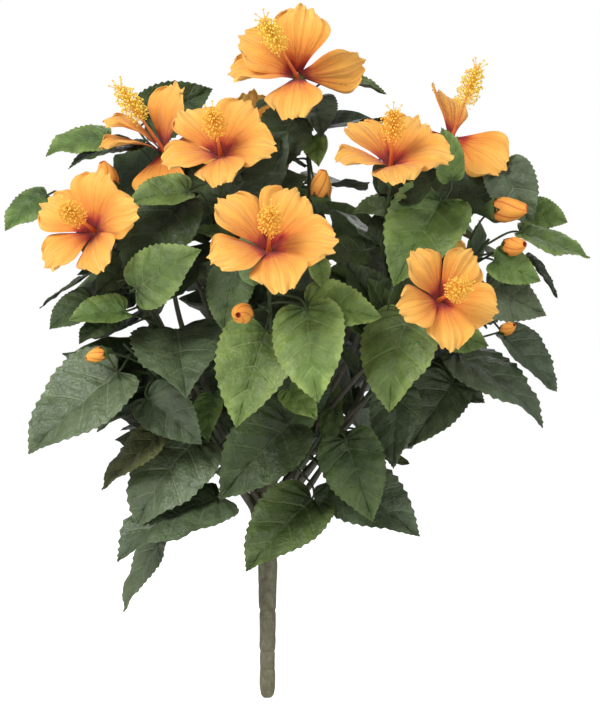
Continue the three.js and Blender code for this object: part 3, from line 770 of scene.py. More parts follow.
for spray in SPRAYS:
    fill(spray, FILLER_SEED, spray.get("fill", FRONT_FILLERS), FILLER_LEAVES, SHORTEST_LEAF)
print("leaves that the solids have", len(leaves))
for spray in SPRAYS:
    fill(spray, YOUNG_SEED, YOUNG_BACK if "fill" in spray else YOUNG_FRONT, YOUNG_LEAVES, SHORTEST_YOUNG)
print("with the smaller ones", len(leaves))

# %% [markdown]
# Shaping by hand in edit mode means picking some points and moving, turning or stretching them.
# These helpers say one such step in one line. Turns follow the right-hand rule: with no window
# Blender turns the other way, so the angle is negated here once.

# %% Edit-mode helpers


def pick(test):
    """Select the points of the piece in edit mode that pass a test."""
    mesh = bpy.context.object.data
    shape = bmesh.from_edit_mesh(mesh)
    for point in shape.verts:
        point.select_set(bool(test(point)))
    shape.select_flush_mode()
    bmesh.update_edit_mesh(mesh)


def pick_grid(wide, test):
    """Select points by their column and row, where a row has so many points."""
    pick(lambda point: test(point.index % wide, point.index // wide))


def place_of(number):
    shape = bmesh.from_edit_mesh(bpy.context.object.data)
    shape.verts.ensure_lookup_table()
    return tuple(shape.verts[number].co)


def move(x, y, z):
    bpy.ops.transform.translate(value=(x, y, z))


def turn(degrees, axis, centre=(0, 0, 0)):
    bpy.ops.transform.rotate(value=-math.radians(degrees), orient_axis=axis, center_override=centre)


def stretch(x, y, z, centre=(0, 0, 0)):
    bpy.ops.transform.resize(value=(x, y, z), center_override=centre)


def flat_grid(name, columns, rows):
    """A flat grid, 0 to 1 along Y and -1 to 1 across, left in edit mode with all of it picked."""
    bpy.ops.mesh.primitive_grid_add(x_subdivisions=columns, y_subdivisions=rows, size=2)
    bpy.context.object.name = name
    bpy.ops.object.mode_set(mode="EDIT")
    stretch(1, 0.5, 1)
    move(0, 0.5, 0)
    return bpy.context.object


print("edit-mode helpers", [tool.__name__ for tool in (pick, pick_grid, move, turn, stretch, flat_grid)])

# %% [markdown]
# Whole pieces are finished with modifiers, which are applied at once. A master is modelled once
# and set down as often as it is needed, each time with a mesh of its own. What belongs together
# is joined, gets its materials and rides with the bush.

# %% Helpers for whole pieces
MM = 0.001


def only(piece):
    """Select this piece alone and make it the active one."""
    bpy.ops.object.select_all(action="DESELECT")
    piece.select_set(True)
    bpy.context.view_layer.objects.active = piece


def finish_with(piece, kind, **settings):
    """Add a modifier to a piece, set it and apply it."""
    only(piece)
    modifier = piece.modifiers.new(kind.lower(), kind)
    for name, value in settings.items():
        setattr(modifier, name, value)
    bpy.ops.object.modifier_apply(modifier=modifier.name)


def smooth(piece, degrees=60):
    only(piece)
    bpy.ops.object.shade_smooth_by_angle(angle=math.radians(degrees))


def mark(piece, name, values):
    """Give each point of a piece a number that its material can read."""
    attribute = piece.data.attributes.new(name, "FLOAT", "POINT")
    attribute.data.foreach_set("value", np.array(values, np.float32))


def clouds(name, scale):
    texture = bpy.data.textures.new(name, "CLOUDS")
    texture.noise_scale = scale
    return texture


def set_down(master, side, way, out, origin, size=1.0, scale=MM):
    """A copy of a master with its own mesh, turned to three axes and moved to its origin."""
    columns = np.column_stack([axis * size * scale for axis in (side, way, out)] + [origin * scale])
    copy = bpy.data.objects.new(master.name, master.data.copy())
    bpy.context.scene.collection.objects.link(copy)
    copy.data.transform(Matrix([*columns.tolist(), [0, 0, 0, 1]]))
    return copy


def gather(parts):
    """Join parts into the first of them and give it back."""
    only(parts[0])
    for part in parts:
        part.select_set(True)
    if len(parts) > 1:
        bpy.ops.object.join()
    return parts[0]


def join(pieces, name, slot, materials):
    """Join pieces into a finished one and give it its materials."""
    whole = gather(pieces)
    whole.name = name
    faces = [face.material_index for face in whole.data.polygons]
    whole.data.materials.clear()
    for made in materials:
        whole.data.materials.append(made)
    whole.data.polygons.foreach_set("material_index", faces)
    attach(whole, "root")
    return whole


def discard(*pieces):
    for piece in pieces:
        bpy.data.objects.remove(piece)


def triangles(piece):
    return sum(len(face.vertices) - 2 for face in piece.data.polygons)


print("helpers for pieces", [tool.__name__ for tool in (finish_with, smooth, mark, set_down, gather, join)])

# %% [markdown]
# A real fabric leaf is die-cut with a toothed rim, printed with veins and pressed between
# heated dies, which puff the cloth up between the veins. Here a flat grid is cut the same way.
# Each of its rows is laid along the line that a side vein would take there, fanned out from the
# base or leaving the midrib, and every second row ends in a tooth. The printed veins follow
# these lines, and the cloth is lowest along them.

# %% Cutting a leaf
LEAF_RIM = [(0.02, 0), (0.13, -0.075), (0.265, -0.065), (0.355, 0.045), (0.392, 0.19), (0.386, 0.35),
            (0.342, 0.52), (0.256, 0.68), (0.146, 0.83), (0.05, 0.935), (0, 1)]
VEINS, VEIN_FAN, VEIN_BOW = 7, 0.44, 0.01
TOOTH, NOTCH, TOOTH_LEAN = 1.03, 0.975, 0.014
RELIEF = 0.009
FINE_GRID, PLAIN_GRID = (12, 42), (4, 14)


def on_rim(part):
    """A point of the leaf's rim, on a smooth curve through the rim's own points."""
    far = part * (len(LEAF_RIM) - 1)
    k = min(int(far), len(LEAF_RIM) - 2)
    t = far - k
    a, b, c, d = (np.array(LEAF_RIM[min(max(n, 0), len(LEAF_RIM) - 1)]) for n in range(k - 1, k + 3))
    return b + 0.5 * t * (c - a + t * (2 * a - 5 * b + 4 * c - d + t * (3 * (b - c) + d - a)))


def cut_leaf(name, columns, rows):
    leaf = flat_grid(name, columns, rows)
    wide, mid = columns + 1, columns // 2
    for k in range(rows + 1):
        part = k / rows
        root = max(0.0, (part - VEIN_FAN) / (1 - VEIN_FAN))
        x, y = on_rim(part)
        x *= TOOTH if k % 2 else NOTCH
        y += TOOTH_LEAN * (k % 2)
        lean = math.degrees(math.atan2(y - root, x)) if x > 0.001 else 0
        pick_grid(wide, lambda column, row: row == k)
        move(0, root - part, 0)
        stretch(math.hypot(x, y - root) if x > 0.001 else 0, 1, 1)
        pick_grid(wide, lambda column, row: row == k and column > mid)
        turn(lean, "Z", (0, root, 0))
        pick_grid(wide, lambda column, row: row == k and column < mid)
        turn(-lean, "Z", (0, root, 0))
        pick_grid(wide, lambda column, row: row == k and 0 < column < columns)
        move(0, 0, RELIEF * math.cos(2 * math.pi * VEINS * part))
    for k in range(1, columns):
        bow = VEIN_BOW * math.sin(math.pi * abs(k / mid - 1))
        pick_grid(wide, lambda column, row: column == k and 2 < row < rows - 3)
        move(0, -bow, 0)
    pick_grid(wide, lambda column, row: column == mid)
    move(0, 0, -RELIEF)
    bpy.ops.object.mode_set(mode="OBJECT")
    margin = leaf.vertex_groups.new(name="margin")
    for point in leaf.data.vertices:
        margin.add([point.index], abs(point.index % wide / mid - 1) ** 1.5, "REPLACE")
    return leaf


fine_leaf, plain_leaf = cut_leaf("fine_leaf", *FINE_GRID), cut_leaf("plain_leaf", *PLAIN_GRID)
print("leaf grids of", len(fine_leaf.data.polygons), "and", len(plain_leaf.data.polygons), "faces")

# %% [markdown]
# No two leaves on a bush hang alike. A few variants are bent from each cut leaf: the halves
# fold up along the midrib, the rim turns down again, the length arches and the tip droops or
# twists. A cloud texture ruffles the rim, and a thickness closes the leaf and gives it an
# underside of its own.

# %% Bending leaves
LEAF_THICK = 0.006
RIM_FROM = 0.2
RUFFLE, CREASE = 0.14, 0.035
VARIANTS = [  # fold, rim turned down, arch, droop of the tip, twist, size of the ruffles
    (14, 8, 20, 6, 4, 0.34), (9, 16, 26, 14, -8, 0.41), (18, 4, 14, 2, 9, 0.29),
    (6, 12, 34, 22, -3, 0.37), (22, 14, 22, 10, -12, 0.45), (12, 20, 18, -8, 10, 0.32),
]


def bend_leaf(cut, rows, number, fold, rim, arch, droop, twist, ruffle):
    only(cut)
    bpy.ops.object.duplicate()
    leaf = bpy.context.object
    leaf.name = f"{cut.name}_{number}"
    wide = len(leaf.data.vertices) // (rows + 1)
    bpy.ops.object.mode_set(mode="EDIT")
    for side in (1, -1):
        pick(lambda point: point.co.x * side > 0.001)
        turn(-fold * side, "Y")
        pick(lambda point: point.co.x * side > RIM_FROM)
        turn(rim * side, "Y", (RIM_FROM * side, 0, RIM_FROM * math.sin(math.radians(fold))))
    bends = range(rows // 4, rows, 2)
    for k in bends:
        centre = place_of(k * wide + wide // 2)
        pick_grid(wide, lambda column, row: row >= k)
        turn(-arch / len(bends) - (4 * droop / len(bends) if k >= 3 * rows // 4 else 0), "X", centre)
        turn(twist / len(bends), "Y", centre)
    tip = Vector(place_of(len(leaf.data.vertices) - 1))
    bpy.ops.mesh.select_all(action="SELECT")
    turn(math.degrees(math.atan2(tip.x, tip.y)), "Z")
    turn(-math.degrees(math.atan2(tip.z, math.hypot(tip.x, tip.y))), "X")
    stretch(1 / tip.length, 1 / tip.length, 1 / tip.length)
    bpy.ops.mesh.remove_doubles(threshold=0.0005)
    bpy.ops.object.mode_set(mode="OBJECT")
    finish_with(leaf, "DISPLACE", texture=clouds(f"ruffle_{number}", ruffle), strength=RUFFLE,
                direction="Z", vertex_group="margin")
    finish_with(leaf, "DISPLACE", texture=clouds(f"creases_{number}", ruffle / 3), strength=CREASE,
                direction="Z")
    finish_with(leaf, "SOLIDIFY", thickness=LEAF_THICK, offset=-1, material_offset=1)
    smooth(leaf, 50)
    return leaf


fine_leaves, plain_leaves = (
    [bend_leaf(cut, rows, number, *shape) for number, shape in enumerate(VARIANTS)]
    for cut, (_, rows) in ((fine_leaf, FINE_GRID), (plain_leaf, PLAIN_GRID)))
discard(fine_leaf, plain_leaf)
print("faces in a finished leaf", len(fine_leaves[0].data.polygons), len(plain_leaves[0].data.polygons))

# %% [markdown]
# Three effects are shared, so each is one group. The vein print reads where a point is on the
# leaf's own grid: lines of the same row are the side veins, and the middle column is the
# midrib. The weave is the fine cloth under the print. The mottle is the uneven tone of dye.

# %% Shared effects
print_tree, given, result = group_of("vein_print", {"UV": "Vector"}, {
    "Vein": "Float", "Across": "Float", "Along": "Float", "Height": "Float"})
spot = wire(print_tree, "SeparateXYZ", {0: given.outputs["UV"]}).node
across = maths(print_tree, "SUBTRACT", times(print_tree, spot.outputs["X"], 2.0), 1.0)
across = maths(print_tree, "ABSOLUTE", across)
from_vein = maths(print_tree, "SUBTRACT", times(print_tree, spot.outputs["Y"], VEINS), 0.5)
from_vein = maths(print_tree, "PINGPONG", from_vein, 0.5)
side_vein = times(print_tree, ease(print_tree, from_vein, 0.015, 0.075, 1, 0),
                  ease(print_tree, across, 0.5, 1.0, 1, 0.25))
vein = maths(print_tree, "MAXIMUM", side_vein, ease(print_tree, across, 0.012, 0.045, 1, 0))
stretched = wire(print_tree, "Mapping", {"Vector": given.outputs["UV"], "Scale": (16, 40, 1)})
cells = wire(print_tree, "TexVoronoi", {"Vector": stretched, "Scale": 1.0}, feature="DISTANCE_TO_EDGE")
height = maths(print_tree, "SUBTRACT", times(print_tree, ease(print_tree, cells, 0.0, 0.25), 0.35), vein)
connect(print_tree, result, {"Vein": vein, "Across": across, "Along": spot.outputs["Y"], "Height": height})

weave_tree, given, result = group_of("weave", {"Vector": "Vector", "Threads": "Float"}, {"Height": "Float"})
threads = {"Vector": given.outputs["Vector"], "Scale": given.outputs["Threads"]}
over, under = (wire(weave_tree, "TexWave", threads, output=1, bands_direction=way) for way in "XY")
connect(weave_tree, result, {"Height": times(weave_tree, over, under)})

mottle_tree, given, result = group_of("mottle", {"Vector": "Vector", "Scale": "Float", "Low": "Float",
                                                 "High": "Float"}, {"Value": "Float"})
noise = wire(mottle_tree, "TexNoise", {"Vector": given.outputs["Vector"], "Scale": given.outputs["Scale"],
                                       "Detail": 3.0, "Roughness": 0.6})
spread = wire(mottle_tree, "MapRange", {"Value": noise, "From Min": 0.3, "From Max": 0.7,
                                        "To Min": given.outputs["Low"], "To Max": given.outputs["High"]})
connect(mottle_tree, result, {"Value": spread})


def mottled(tree, scale, low, high):
    """A number that wanders from low to high over a piece."""
    where = wire(tree, "TexCoord", {}, output=3)
    return placed_group(tree, mottle_tree, {"Vector": where, "Scale": scale, "Low": low, "High": high})[0]


print("shared effects", [tree.name for tree in (print_tree, weave_tree, mottle_tree)])

# %% [markdown]
# Each leaf cloth is one print of a blade colour and pale veins, with painted shade and light
# over it: a darker heart round the base of the midrib is painted shade, and a lighter edge is
# painted light. A satin gloss lies over it. The underside shows the same print faintly
# through. Each leaf has its own tint, so that no two are quite alike.

# %% Leaf cloths
CLOTHS = {  # blade, heart (painted shade), edge (painted light), vein, how much the edge and the vein show, roughness, gloss
    "d": ("dark", (48, 62, 32), (30, 40, 20), (66, 82, 44), (80, 96, 60), 0.5, 0.3, 0.42, 0.35),
    "m": ("middle", (66, 83, 42), (40, 54, 26), (88, 106, 56), (106, 124, 74), 0.6, 0.32, 0.46, 0.4),
    "g": ("grey_green", (80, 94, 64), (54, 68, 40), (98, 114, 80), (122, 136, 102), 0.5, 0.32, 0.42, 0.55),
    "o": ("olive", (92, 94, 52), (66, 70, 36), (116, 120, 72), (122, 126, 82), 0.6, 0.4, 0.5, 0.4),
    "b": ("bright", (82, 105, 46), (44, 62, 24), (116, 136, 70), (126, 144, 84), 0.75, 0.28, 0.45, 0.5),
    "l": ("light", (96, 122, 54), (56, 82, 32), (130, 152, 78), (138, 158, 92), 0.85, 0.28, 0.45, 0.5),
}


def cloth_leaf(name, blade, shaded_heart, lit_edge, vein, lit_edge_part, vein_part, rough, gloss):
    made, tree, shader = material(f"leaf_{name}")
    uv = wire(tree, "UVMap", {}, uv_map="UVMap")
    prints = placed_group(tree, print_tree, {"UV": uv})
    mottle = mottled(tree, 60.0, -0.4, 0.4)
    soft = times(tree, mottle, 0.5)
    # Painted shade: the heart round the base of the midrib is darker. Painted light: the edge is lighter.
    from_shaded_heart = ease(tree, plus(tree, times(tree, prints["Across"], 0.8), prints["Along"], soft), 0.1, 1.0)
    tone = blend(tree, from_shaded_heart, dye(*shaded_heart), dye(*blade))
    to_lit_edge = ease(tree, plus(tree, prints["Across"], soft), 0.55, 1.1, 0, lit_edge_part)
    tone = blend(tree, to_lit_edge, tone, dye(*lit_edge))
    tone = blend(tree, times(tree, prints["Vein"], vein_part), tone, dye(*vein))
    tint = marked(tree, "tint")
    uneven = plus(tree, tint, mottle, mottled(tree, 26.0, -0.3, 0.3))
    worth = wire(tree, "MapRange", {"Value": uneven, "To Min": 0.77, "To Max": 1.26}, clamp=False)
    hue = wire(tree, "MapRange", {"Value": tint, "To Min": 0.51, "To Max": 0.49})
    tone = wire(tree, "HueSaturation", {"Color": tone, "Value": worth, "Hue": hue})
    crumples = wire(tree, "TexNoise", {"Vector": wire(tree, "TexCoord", {}, output=3), "Scale": 110.0,
                                       "Detail": 2.5, "Roughness": 0.55})
    weave = placed_group(tree, weave_tree, {"Vector": uv, "Threads": 30.0})[0]
    height = plus(tree, prints["Height"], times(tree, weave, 0.15))
    bump = relief(tree, height, 0.6, 0.0008, Normal=relief(tree, crumples, 0.8, 0.0035))
    connect(tree, shader, {"Base Color": tone, "Roughness": mottled(tree, 140.0, rough - 0.06, rough + 0.1),
                           "Normal": bump, "Specular IOR Level": gloss})
    return made


def under_leaf(name, blade, vein):
    made, tree, shader = material(f"leaf_{name}_underside")
    prints = placed_group(tree, print_tree, {"UV": wire(tree, "UVMap", {}, uv_map="UVMap")})
    faint_blade, faint_vein = (dye(*(c * 0.8 + 30 for c in colour)) for colour in (blade, vein))
    tone = blend(tree, times(tree, prints["Vein"], 0.5), faint_blade, faint_vein)
    raised = times(tree, prints["Height"], -1.0)
    connect(tree, shader, {"Base Color": tone, "Roughness": 0.75,
                           "Normal": relief(tree, raised, 0.6, 0.0006)})
    return made


cloths = {}
for key, (name, blade, shaded_heart, lit_edge, vein, *finish) in CLOTHS.items():
    cloths[key] = (name, cloth_leaf(name, blade, shaded_heart, lit_edge, vein, *finish), under_leaf(name, blade, vein))
print("leaf cloths", [name for name, *_ in cloths.values()])

# %% [markdown]
# Every leaf is a copy of a bent leaf, set where the rule grew it: its base on the petiole, its
# tip where the solid's tip is, and its face the same way. The leading leaves are copies of the
# fine ones. All the leaves of one cloth are then joined into one piece.

# %% Setting the leaves
chance = seeded(31)
by_cloth = {key: [] for key in CLOTHS}
for number, grown in enumerate(leaves):
    masters = fine_leaves if number < leaders else plain_leaves
    out = square(grown["face"], grown["way"])
    side = np.cross(grown["way"], out)
    leaf = set_down(masters[int(chance() * len(masters))], side, grown["way"], out,
                    grown["base"], grown["size"])
    mark(leaf, "tint", [chance()] * len(leaf.data.vertices))
    by_cloth[grown["cloth"]].append(leaf)
for key, (name, upper, lower) in cloths.items():
    piece = join(by_cloth[key], f"leaves_{name}", "leaf", (upper, lower))
    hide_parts(*spray_nodes)
    print(piece.name, "triangles", triangles(piece))
discard(*fine_leaves, *plain_leaves)

# %% [markdown]
# A petal of the real bloom is one piece of silk with a wavy, notched rim. It leaves the throat
# steeply, opens out and rolls back at the rim, and it overlaps the next one like a pinwheel. A
# flat grid gets its outline by stretching columns and rows, then each row turns a little more.

# %% Cutting a petal
PETAL_COLUMNS, PETAL_ROWS = 28, 16
PETAL_LENGTH, PETAL_THICK = 60.7, 0.4
PETAL_SPREAD = [0.15, 0.22, 0.31, 0.42, 0.55, 0.69, 0.82, 0.92, 0.95, 0.86, 0.62]
RIM_DROP, RIM_LOBES, LOBE_TURNS, RIM_NOTCH = 0.17, 0.025, 11, 0.018
WAVE, WAVE_TURNS, RIPPLE, RIPPLE_TURNS, PLEAT = 1.8, 7.5, 1.1, 19, 0.8
PINWHEEL, PETAL_RUFFLE = 9, 11
PETAL_SHAPES = [(0, 16), (5, 22), (-5, 18), (2, 25), (-2, 20)]  # extra roll back, size of ruffles


def petal_slope(part):
    """How steeply a petal stands out of the bloom's own plane, in degrees."""
    forward = PETAL_FLARE * 2 * (1 - part) - PETAL_REFLEX * 3 * part**2
    return math.degrees(math.atan2(forward, PETAL_REACH - THROAT_RADIUS))


def cut_petal(number, extra, ruffle):
    petal = flat_grid(f"petal_{number}", PETAL_COLUMNS, PETAL_ROWS)
    wide, mid = PETAL_COLUMNS + 1, PETAL_COLUMNS // 2
    random = seeded(400 + number)
    first_lobe = random() * 2 * math.pi
    for k in range(wide):
        from_mid = k / mid - 1
        lobes = RIM_LOBES * math.sin(LOBE_TURNS * from_mid + first_lobe)
        rim = 1 - RIM_DROP * from_mid**2 + lobes + RIM_NOTCH * (random() * 2 - 1)
        pick_grid(wide, lambda column, row: column == k)
        stretch(1, PETAL_LENGTH * rim, 1)
        wave = WAVE * math.sin(WAVE_TURNS * from_mid + first_lobe)
        ripple = RIPPLE * math.sin(RIPPLE_TURNS * from_mid + 2 * first_lobe)
        move(0, 0, wave + ripple + (random() - 0.5) * PLEAT)
    for k in range(PETAL_ROWS + 1):
        spread = np.interp(k / PETAL_ROWS, np.linspace(0, 1, len(PETAL_SPREAD)), PETAL_SPREAD)
        pick_grid(wide, lambda column, row: row == k)
        stretch(PETAL_HALF_WIDTH * spread, 1, (k / PETAL_ROWS) ** 1.5)
    bpy.ops.mesh.select_all(action="SELECT")
    turn(PINWHEEL, "Y")
    turn(petal_slope(0), "X")
    for k in range(1, PETAL_ROWS):
        part = k / PETAL_ROWS
        more = petal_slope(part) - petal_slope(part - 1 / PETAL_ROWS) - extra * part / PETAL_ROWS * 2
        centre = place_of(k * wide + mid)
        pick_grid(wide, lambda column, row: row >= k)
        turn(more, "X", centre)
    bpy.ops.mesh.select_all(action="SELECT")
    move(0, THROAT_RADIUS, 0)
    bpy.ops.object.mode_set(mode="OBJECT")
    outer = petal.vertex_groups.new(name="outer")
    for point in petal.data.vertices:
        outer.add([point.index], (point.index // wide / PETAL_ROWS) ** 2, "REPLACE")
    finish_with(petal, "DISPLACE", texture=clouds(f"petal_ruffle_{number}", ruffle), strength=PETAL_RUFFLE,
                direction="Z", vertex_group="outer")
    finish_with(petal, "SOLIDIFY", thickness=PETAL_THICK, offset=0)
    smooth(petal)
    return petal


petal_masters = [cut_petal(number, *shape) for number, shape in enumerate(PETAL_SHAPES)]
print("faces in a petal", len(petal_masters[0].data.polygons))

# %% [markdown]
# The silk is dyed by airbrush: deep crimson in the throat, which runs out between the petals as
# a star, then orange, and paler yellow at the rim. Fine pleats run from the throat to the rim.

# %% Petal silk
PETAL_DYES = [(0.05, (132, 20, 28)), (0.1, (168, 36, 34)), (0.16, (208, 84, 40)), (0.26, (238, 142, 56)),
              (0.6, (248, 178, 76)), (0.96, (254, 202, 102))]
STREAK_DYE, LINE_DYE = (226, 118, 46), (158, 36, 28)

silk, tree, shader = material("petal_silk")
uv = wire(tree, "UVMap", {}, uv_map="UVMap")
spot = wire(tree, "SeparateXYZ", {0: uv}).node
pleated = wire(tree, "Mapping", {"Vector": uv, "Scale": (24, 1.3, 1)})
pleats = wire(tree, "TexNoise", {"Vector": pleated, "Scale": 1.0, "Detail": 3.0, "Roughness": 0.6})
star = times(tree, maths(tree, "ABSOLUTE", maths(tree, "SUBTRACT", spot.outputs["X"], 0.5)), -0.18)
frayed = times(tree, maths(tree, "SUBTRACT", pleats, 0.5), 0.22)
along = plus(tree, spot.outputs["Y"], star, mottled(tree, 90.0, -0.05, 0.05), frayed)
tone = colour_ramp(tree, along, PETAL_DYES)
tone = blend(tree, ease(tree, pleats, 0.46, 0.62, 0.0, 0.36), tone, dye(*STREAK_DYE))
near_throat = ease(tree, spot.outputs["Y"], 0.08, 0.62, 0.9, 0.0)
tone = blend(tree, times(tree, ease(tree, pleats, 0.53, 0.6), near_throat), tone, dye(*LINE_DYE))
worth = wire(tree, "MapRange", {"Value": marked(tree, "tint"), "To Min": 0.94, "To Max": 1.06})
tone = wire(tree, "HueSaturation", {"Color": tone, "Value": worth})
weave = placed_group(tree, weave_tree, {"Vector": uv, "Threads": 26.0})[0]
bump = relief(tree, plus(tree, pleats, times(tree, weave, 0.12)), 0.7, 0.002)
connect(tree, shader, {"Base Color": tone, "Roughness": 0.72, "Normal": bump, "Specular IOR Level": 0.3,
                       "Sheen Weight": 0.15})
print("colours along the petal", len(PETAL_DYES))

# %% [markdown]
# Round parts such as the calyx, the column and the buds are drawn up like a pot: a ring is
# extruded upwards and stretched to each new radius. A calyx or a bud's cup ends in five green
# points, with the rim pressed down between them.

# %% Round parts


def draw_up(name, rows, sides):
    """A closed round piece through rows of height and radius, left in object mode."""
    bpy.ops.mesh.primitive_circle_add(vertices=sides, radius=rows[0][1], fill_type="NGON",
                                      location=(0, 0, rows[0][0]))
    piece = bpy.context.object
    piece.name = name
    bpy.ops.object.transform_apply(location=True)
    bpy.ops.object.mode_set(mode="EDIT")
    for (low, before), (high, radius) in zip(rows, rows[1:]):
        bpy.ops.mesh.extrude_region_move(TRANSFORM_OT_translate={"value": (0, 0, high - low)})
        stretch(radius / before, radius / before, 1, (0, 0, high))
    bpy.ops.mesh.select_all(action="SELECT")
    bpy.ops.mesh.normals_make_consistent(inside=False)
    bpy.ops.object.mode_set(mode="OBJECT")
    mark(piece, "along", [point.co.z / rows[-1][0] for point in piece.data.vertices])
    return piece


def pull_points(piece, above, rise, flare):
    """Pull every fourth point above a height up and out, and press the ones between down."""
    bpy.ops.object.mode_set(mode="EDIT")
    pick(lambda point: point.co.z > above and point.index % 4 == 0)
    move(0, 0, rise)
    stretch(flare, flare, 1)
    pick(lambda point: point.co.z > above and point.index % 4 == 2)
    move(0, 0, -rise / 2)
    bpy.ops.object.mode_set(mode="OBJECT")
    smooth(piece)


CALYX_ROWS = [(-22, 1.6), (-20, 2.6), (-17, 4.6), (-13, 5.6), (-9, 5.2), (-5, 4.4), (-2, 4.8)]
CALYX_SIDES, CALYX_POINTS_FROM, CALYX_POINT, CALYX_FLARE = 20, -3, 4, 1.9
COLUMN_ROWS = [(-3, 2.4), (4, 1.9), (12, 1.5), (34, 1.2), (60, 0.9), (67, 0.6)]
COLUMN_SIDES = 10

calyx = draw_up("calyx", CALYX_ROWS, CALYX_SIDES)
pull_points(calyx, CALYX_POINTS_FROM, CALYX_POINT, CALYX_FLARE)
column = draw_up("column", COLUMN_ROWS, COLUMN_SIDES)
smooth(column)
print("faces in a calyx and a column", len(calyx.data.polygons), len(column.data.polygons))

# %% [markdown]
# The brush on the column is many small yellow anthers on short filaments, set by the golden
# angle, and five sticky stigma tips stand above it. Both are pins: a ball on a thread.

# %% The brush and the stigmas
ANTHERS, FILAMENT, ANTHER_SIZE, ANTHER_SHAPE = 170, 10, 1.15, (0.75, 1.15, 0.7)
BRUSH, BRUSH_LEAN, BRUSH_SCATTER = (33, 64), (10, 60), 22
ANTHER_SIZES, BRUSH_SWELL = (0.85, 1.15), (0.74, 1.1)
STIGMAS, STIGMA_LENGTH, STIGMA_SIZE = 5, 11, 1.1
STIGMA_TURN, STIGMA_SPREAD = 20, 0.75
FILAMENT_RADII, STYLE_RADII = (0.42, 0.32), (0.5, 0.35)


def pin(size, shape, length, thick, thin, sides):
    """A small ball on the end of a thread that stands on the origin."""
    bpy.ops.mesh.primitive_ico_sphere_add(subdivisions=1, radius=size, location=(0, 0, length))
    ball = bpy.context.object
    ball.scale = shape
    bpy.ops.object.transform_apply()
    bpy.ops.mesh.primitive_cone_add(vertices=sides, radius1=thick, radius2=thin, depth=length,
                                    location=(0, 0, length / 2))
    bpy.ops.object.transform_apply()
    whole = gather([ball, bpy.context.object])
    smooth(whole, 80)
    return whole


def stuck(master, out, height, size=1):
    """A copy of a pin that stands out from the column at a height."""
    side = unit(np.cross(UP, out))
    return set_down(master, side, np.cross(out, side), out, UP * height, size, scale=1)


anther = pin(ANTHER_SIZE, ANTHER_SHAPE, FILAMENT, *FILAMENT_RADII, sides=3)
random = seeded(77)
pins = []
for number in range(ANTHERS):
    around = math.radians(number * GOLDEN_ANGLE)
    part = number / (ANTHERS - 1)
    rise = math.radians(between(*BRUSH_LEAN, part) + BRUSH_SCATTER * (random() - 0.5))
    out = vec(math.cos(around) * math.cos(rise), math.sin(around) * math.cos(rise), math.sin(rise))
    size = between(*ANTHER_SIZES, random()) * between(*BRUSH_SWELL, math.sin(math.pi * part))
    pins.append(stuck(anther, out, between(*BRUSH, part), size))
brush = gather(pins)

stigma = pin(STIGMA_SIZE, (1, 1, 1), STIGMA_LENGTH, *STYLE_RADII, sides=5)
ways = [turned(ASIDE, UP, number * 360 / STIGMAS + STIGMA_TURN) for number in range(STIGMAS)]
stigmas = gather([stuck(stigma, unit(UP + way * STIGMA_SPREAD), COLUMN_ROWS[-1][0]) for way in ways])
discard(anther, stigma)
print("faces in a brush", len(brush.data.polygons))

# %% [markdown]
# The plastic and flocked parts of the bloom get plain materials with a little life of their
# own: the column turns from orange-red to yellow as it rises, the anthers are floury, and the
# green plastic of calyx and bud cup is satin.

# %% Small bloom materials


def dyed(name, low, high, rough, grain=400.0, bump=0.3):
    """A material that goes from one colour to another along its piece, with a fine grain."""
    made, tree, shader = material(name)
    mottle = mottled(tree, grain, -0.15, 0.15)
    tone = blend(tree, plus(tree, marked(tree, "along"), mottle), dye(*low), dye(*high))
    connect(tree, shader, {"Base Color": tone, "Roughness": rough,
                           "Normal": relief(tree, mottle, bump, 0.0008)})
    return made


column_plastic = dyed("column", (216, 84, 42), (252, 196, 92), 0.5)
anther_flock = dyed("anther", (251, 194, 76), (255, 220, 92), 0.85, 600.0, 0.08)
stigma_flock = dyed("stigma", (250, 200, 84), (250, 220, 110), 0.8)
green_plastic = dyed("calyx", (58, 76, 36), (92, 112, 54), 0.5)
print("materials", [made.name for made in (column_plastic, anther_flock, stigma_flock, green_plastic)])

# %% [markdown]
# Blooms are set on the throats that the rule gives. Each petal of a bloom is another of the
# five cut petals, so that no bloom is regular. The blooms seen from the side, whose petals have
# rows of their own, show the full column. The others have a shorter one, as it looks in the
# photograph. Each kind of part is then joined into one piece.

# %% Setting the blooms
FACING_REACH = 0.78
PARTS = {"calyxes": (calyx, "leaf", green_plastic), "columns": (column, "petal", column_plastic),
         "brushes": (brush, "anther", anther_flock), "stigmas": (stigmas, "anther", stigma_flock)}

copies = {kind: [] for kind in ("petals", *PARTS)}
chance = seeded(57)
bloom_nodes = [bloom["spray"]["node"] for bloom in blooms]
for number, bloom in enumerate(blooms):
    facing, throat, size = (bloom[key] for key in ("facing", "throat", "size"))
    upright = square(UP, facing)
    side = np.cross(upright, facing)
    reach = 1 if "petals" in bloom["spray"] else FACING_REACH
    for kind, (master, *_) in PARTS.items():
        along = facing * (reach if kind != "calyxes" else 1)
        copies[kind].append(set_down(master, side, upright, along, throat))
    mark(copies["brushes"][-1], "along", [reach == 1] * len(brush.data.vertices))
    shade = chance()
    for k, (spoke, face) in enumerate(bloom["ways"]):
        master = petal_masters[(k + number * 2) % len(petal_masters)]
        petal = set_down(master, np.cross(spoke, face), spoke, face, throat, size)
        mark(petal, "tint", [between(shade, chance(), 0.4)] * len(petal.data.vertices))
        copies["petals"].append(petal)
for kind, (_, slot, made) in {"petals": (None, "petal", silk), **PARTS}.items():
    piece = join(copies[kind], kind, slot, (made,))
    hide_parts(*bloom_nodes)
    print(kind, "triangles", triangles(piece))
discard(*petal_masters, calyx, column, brush, stigmas)
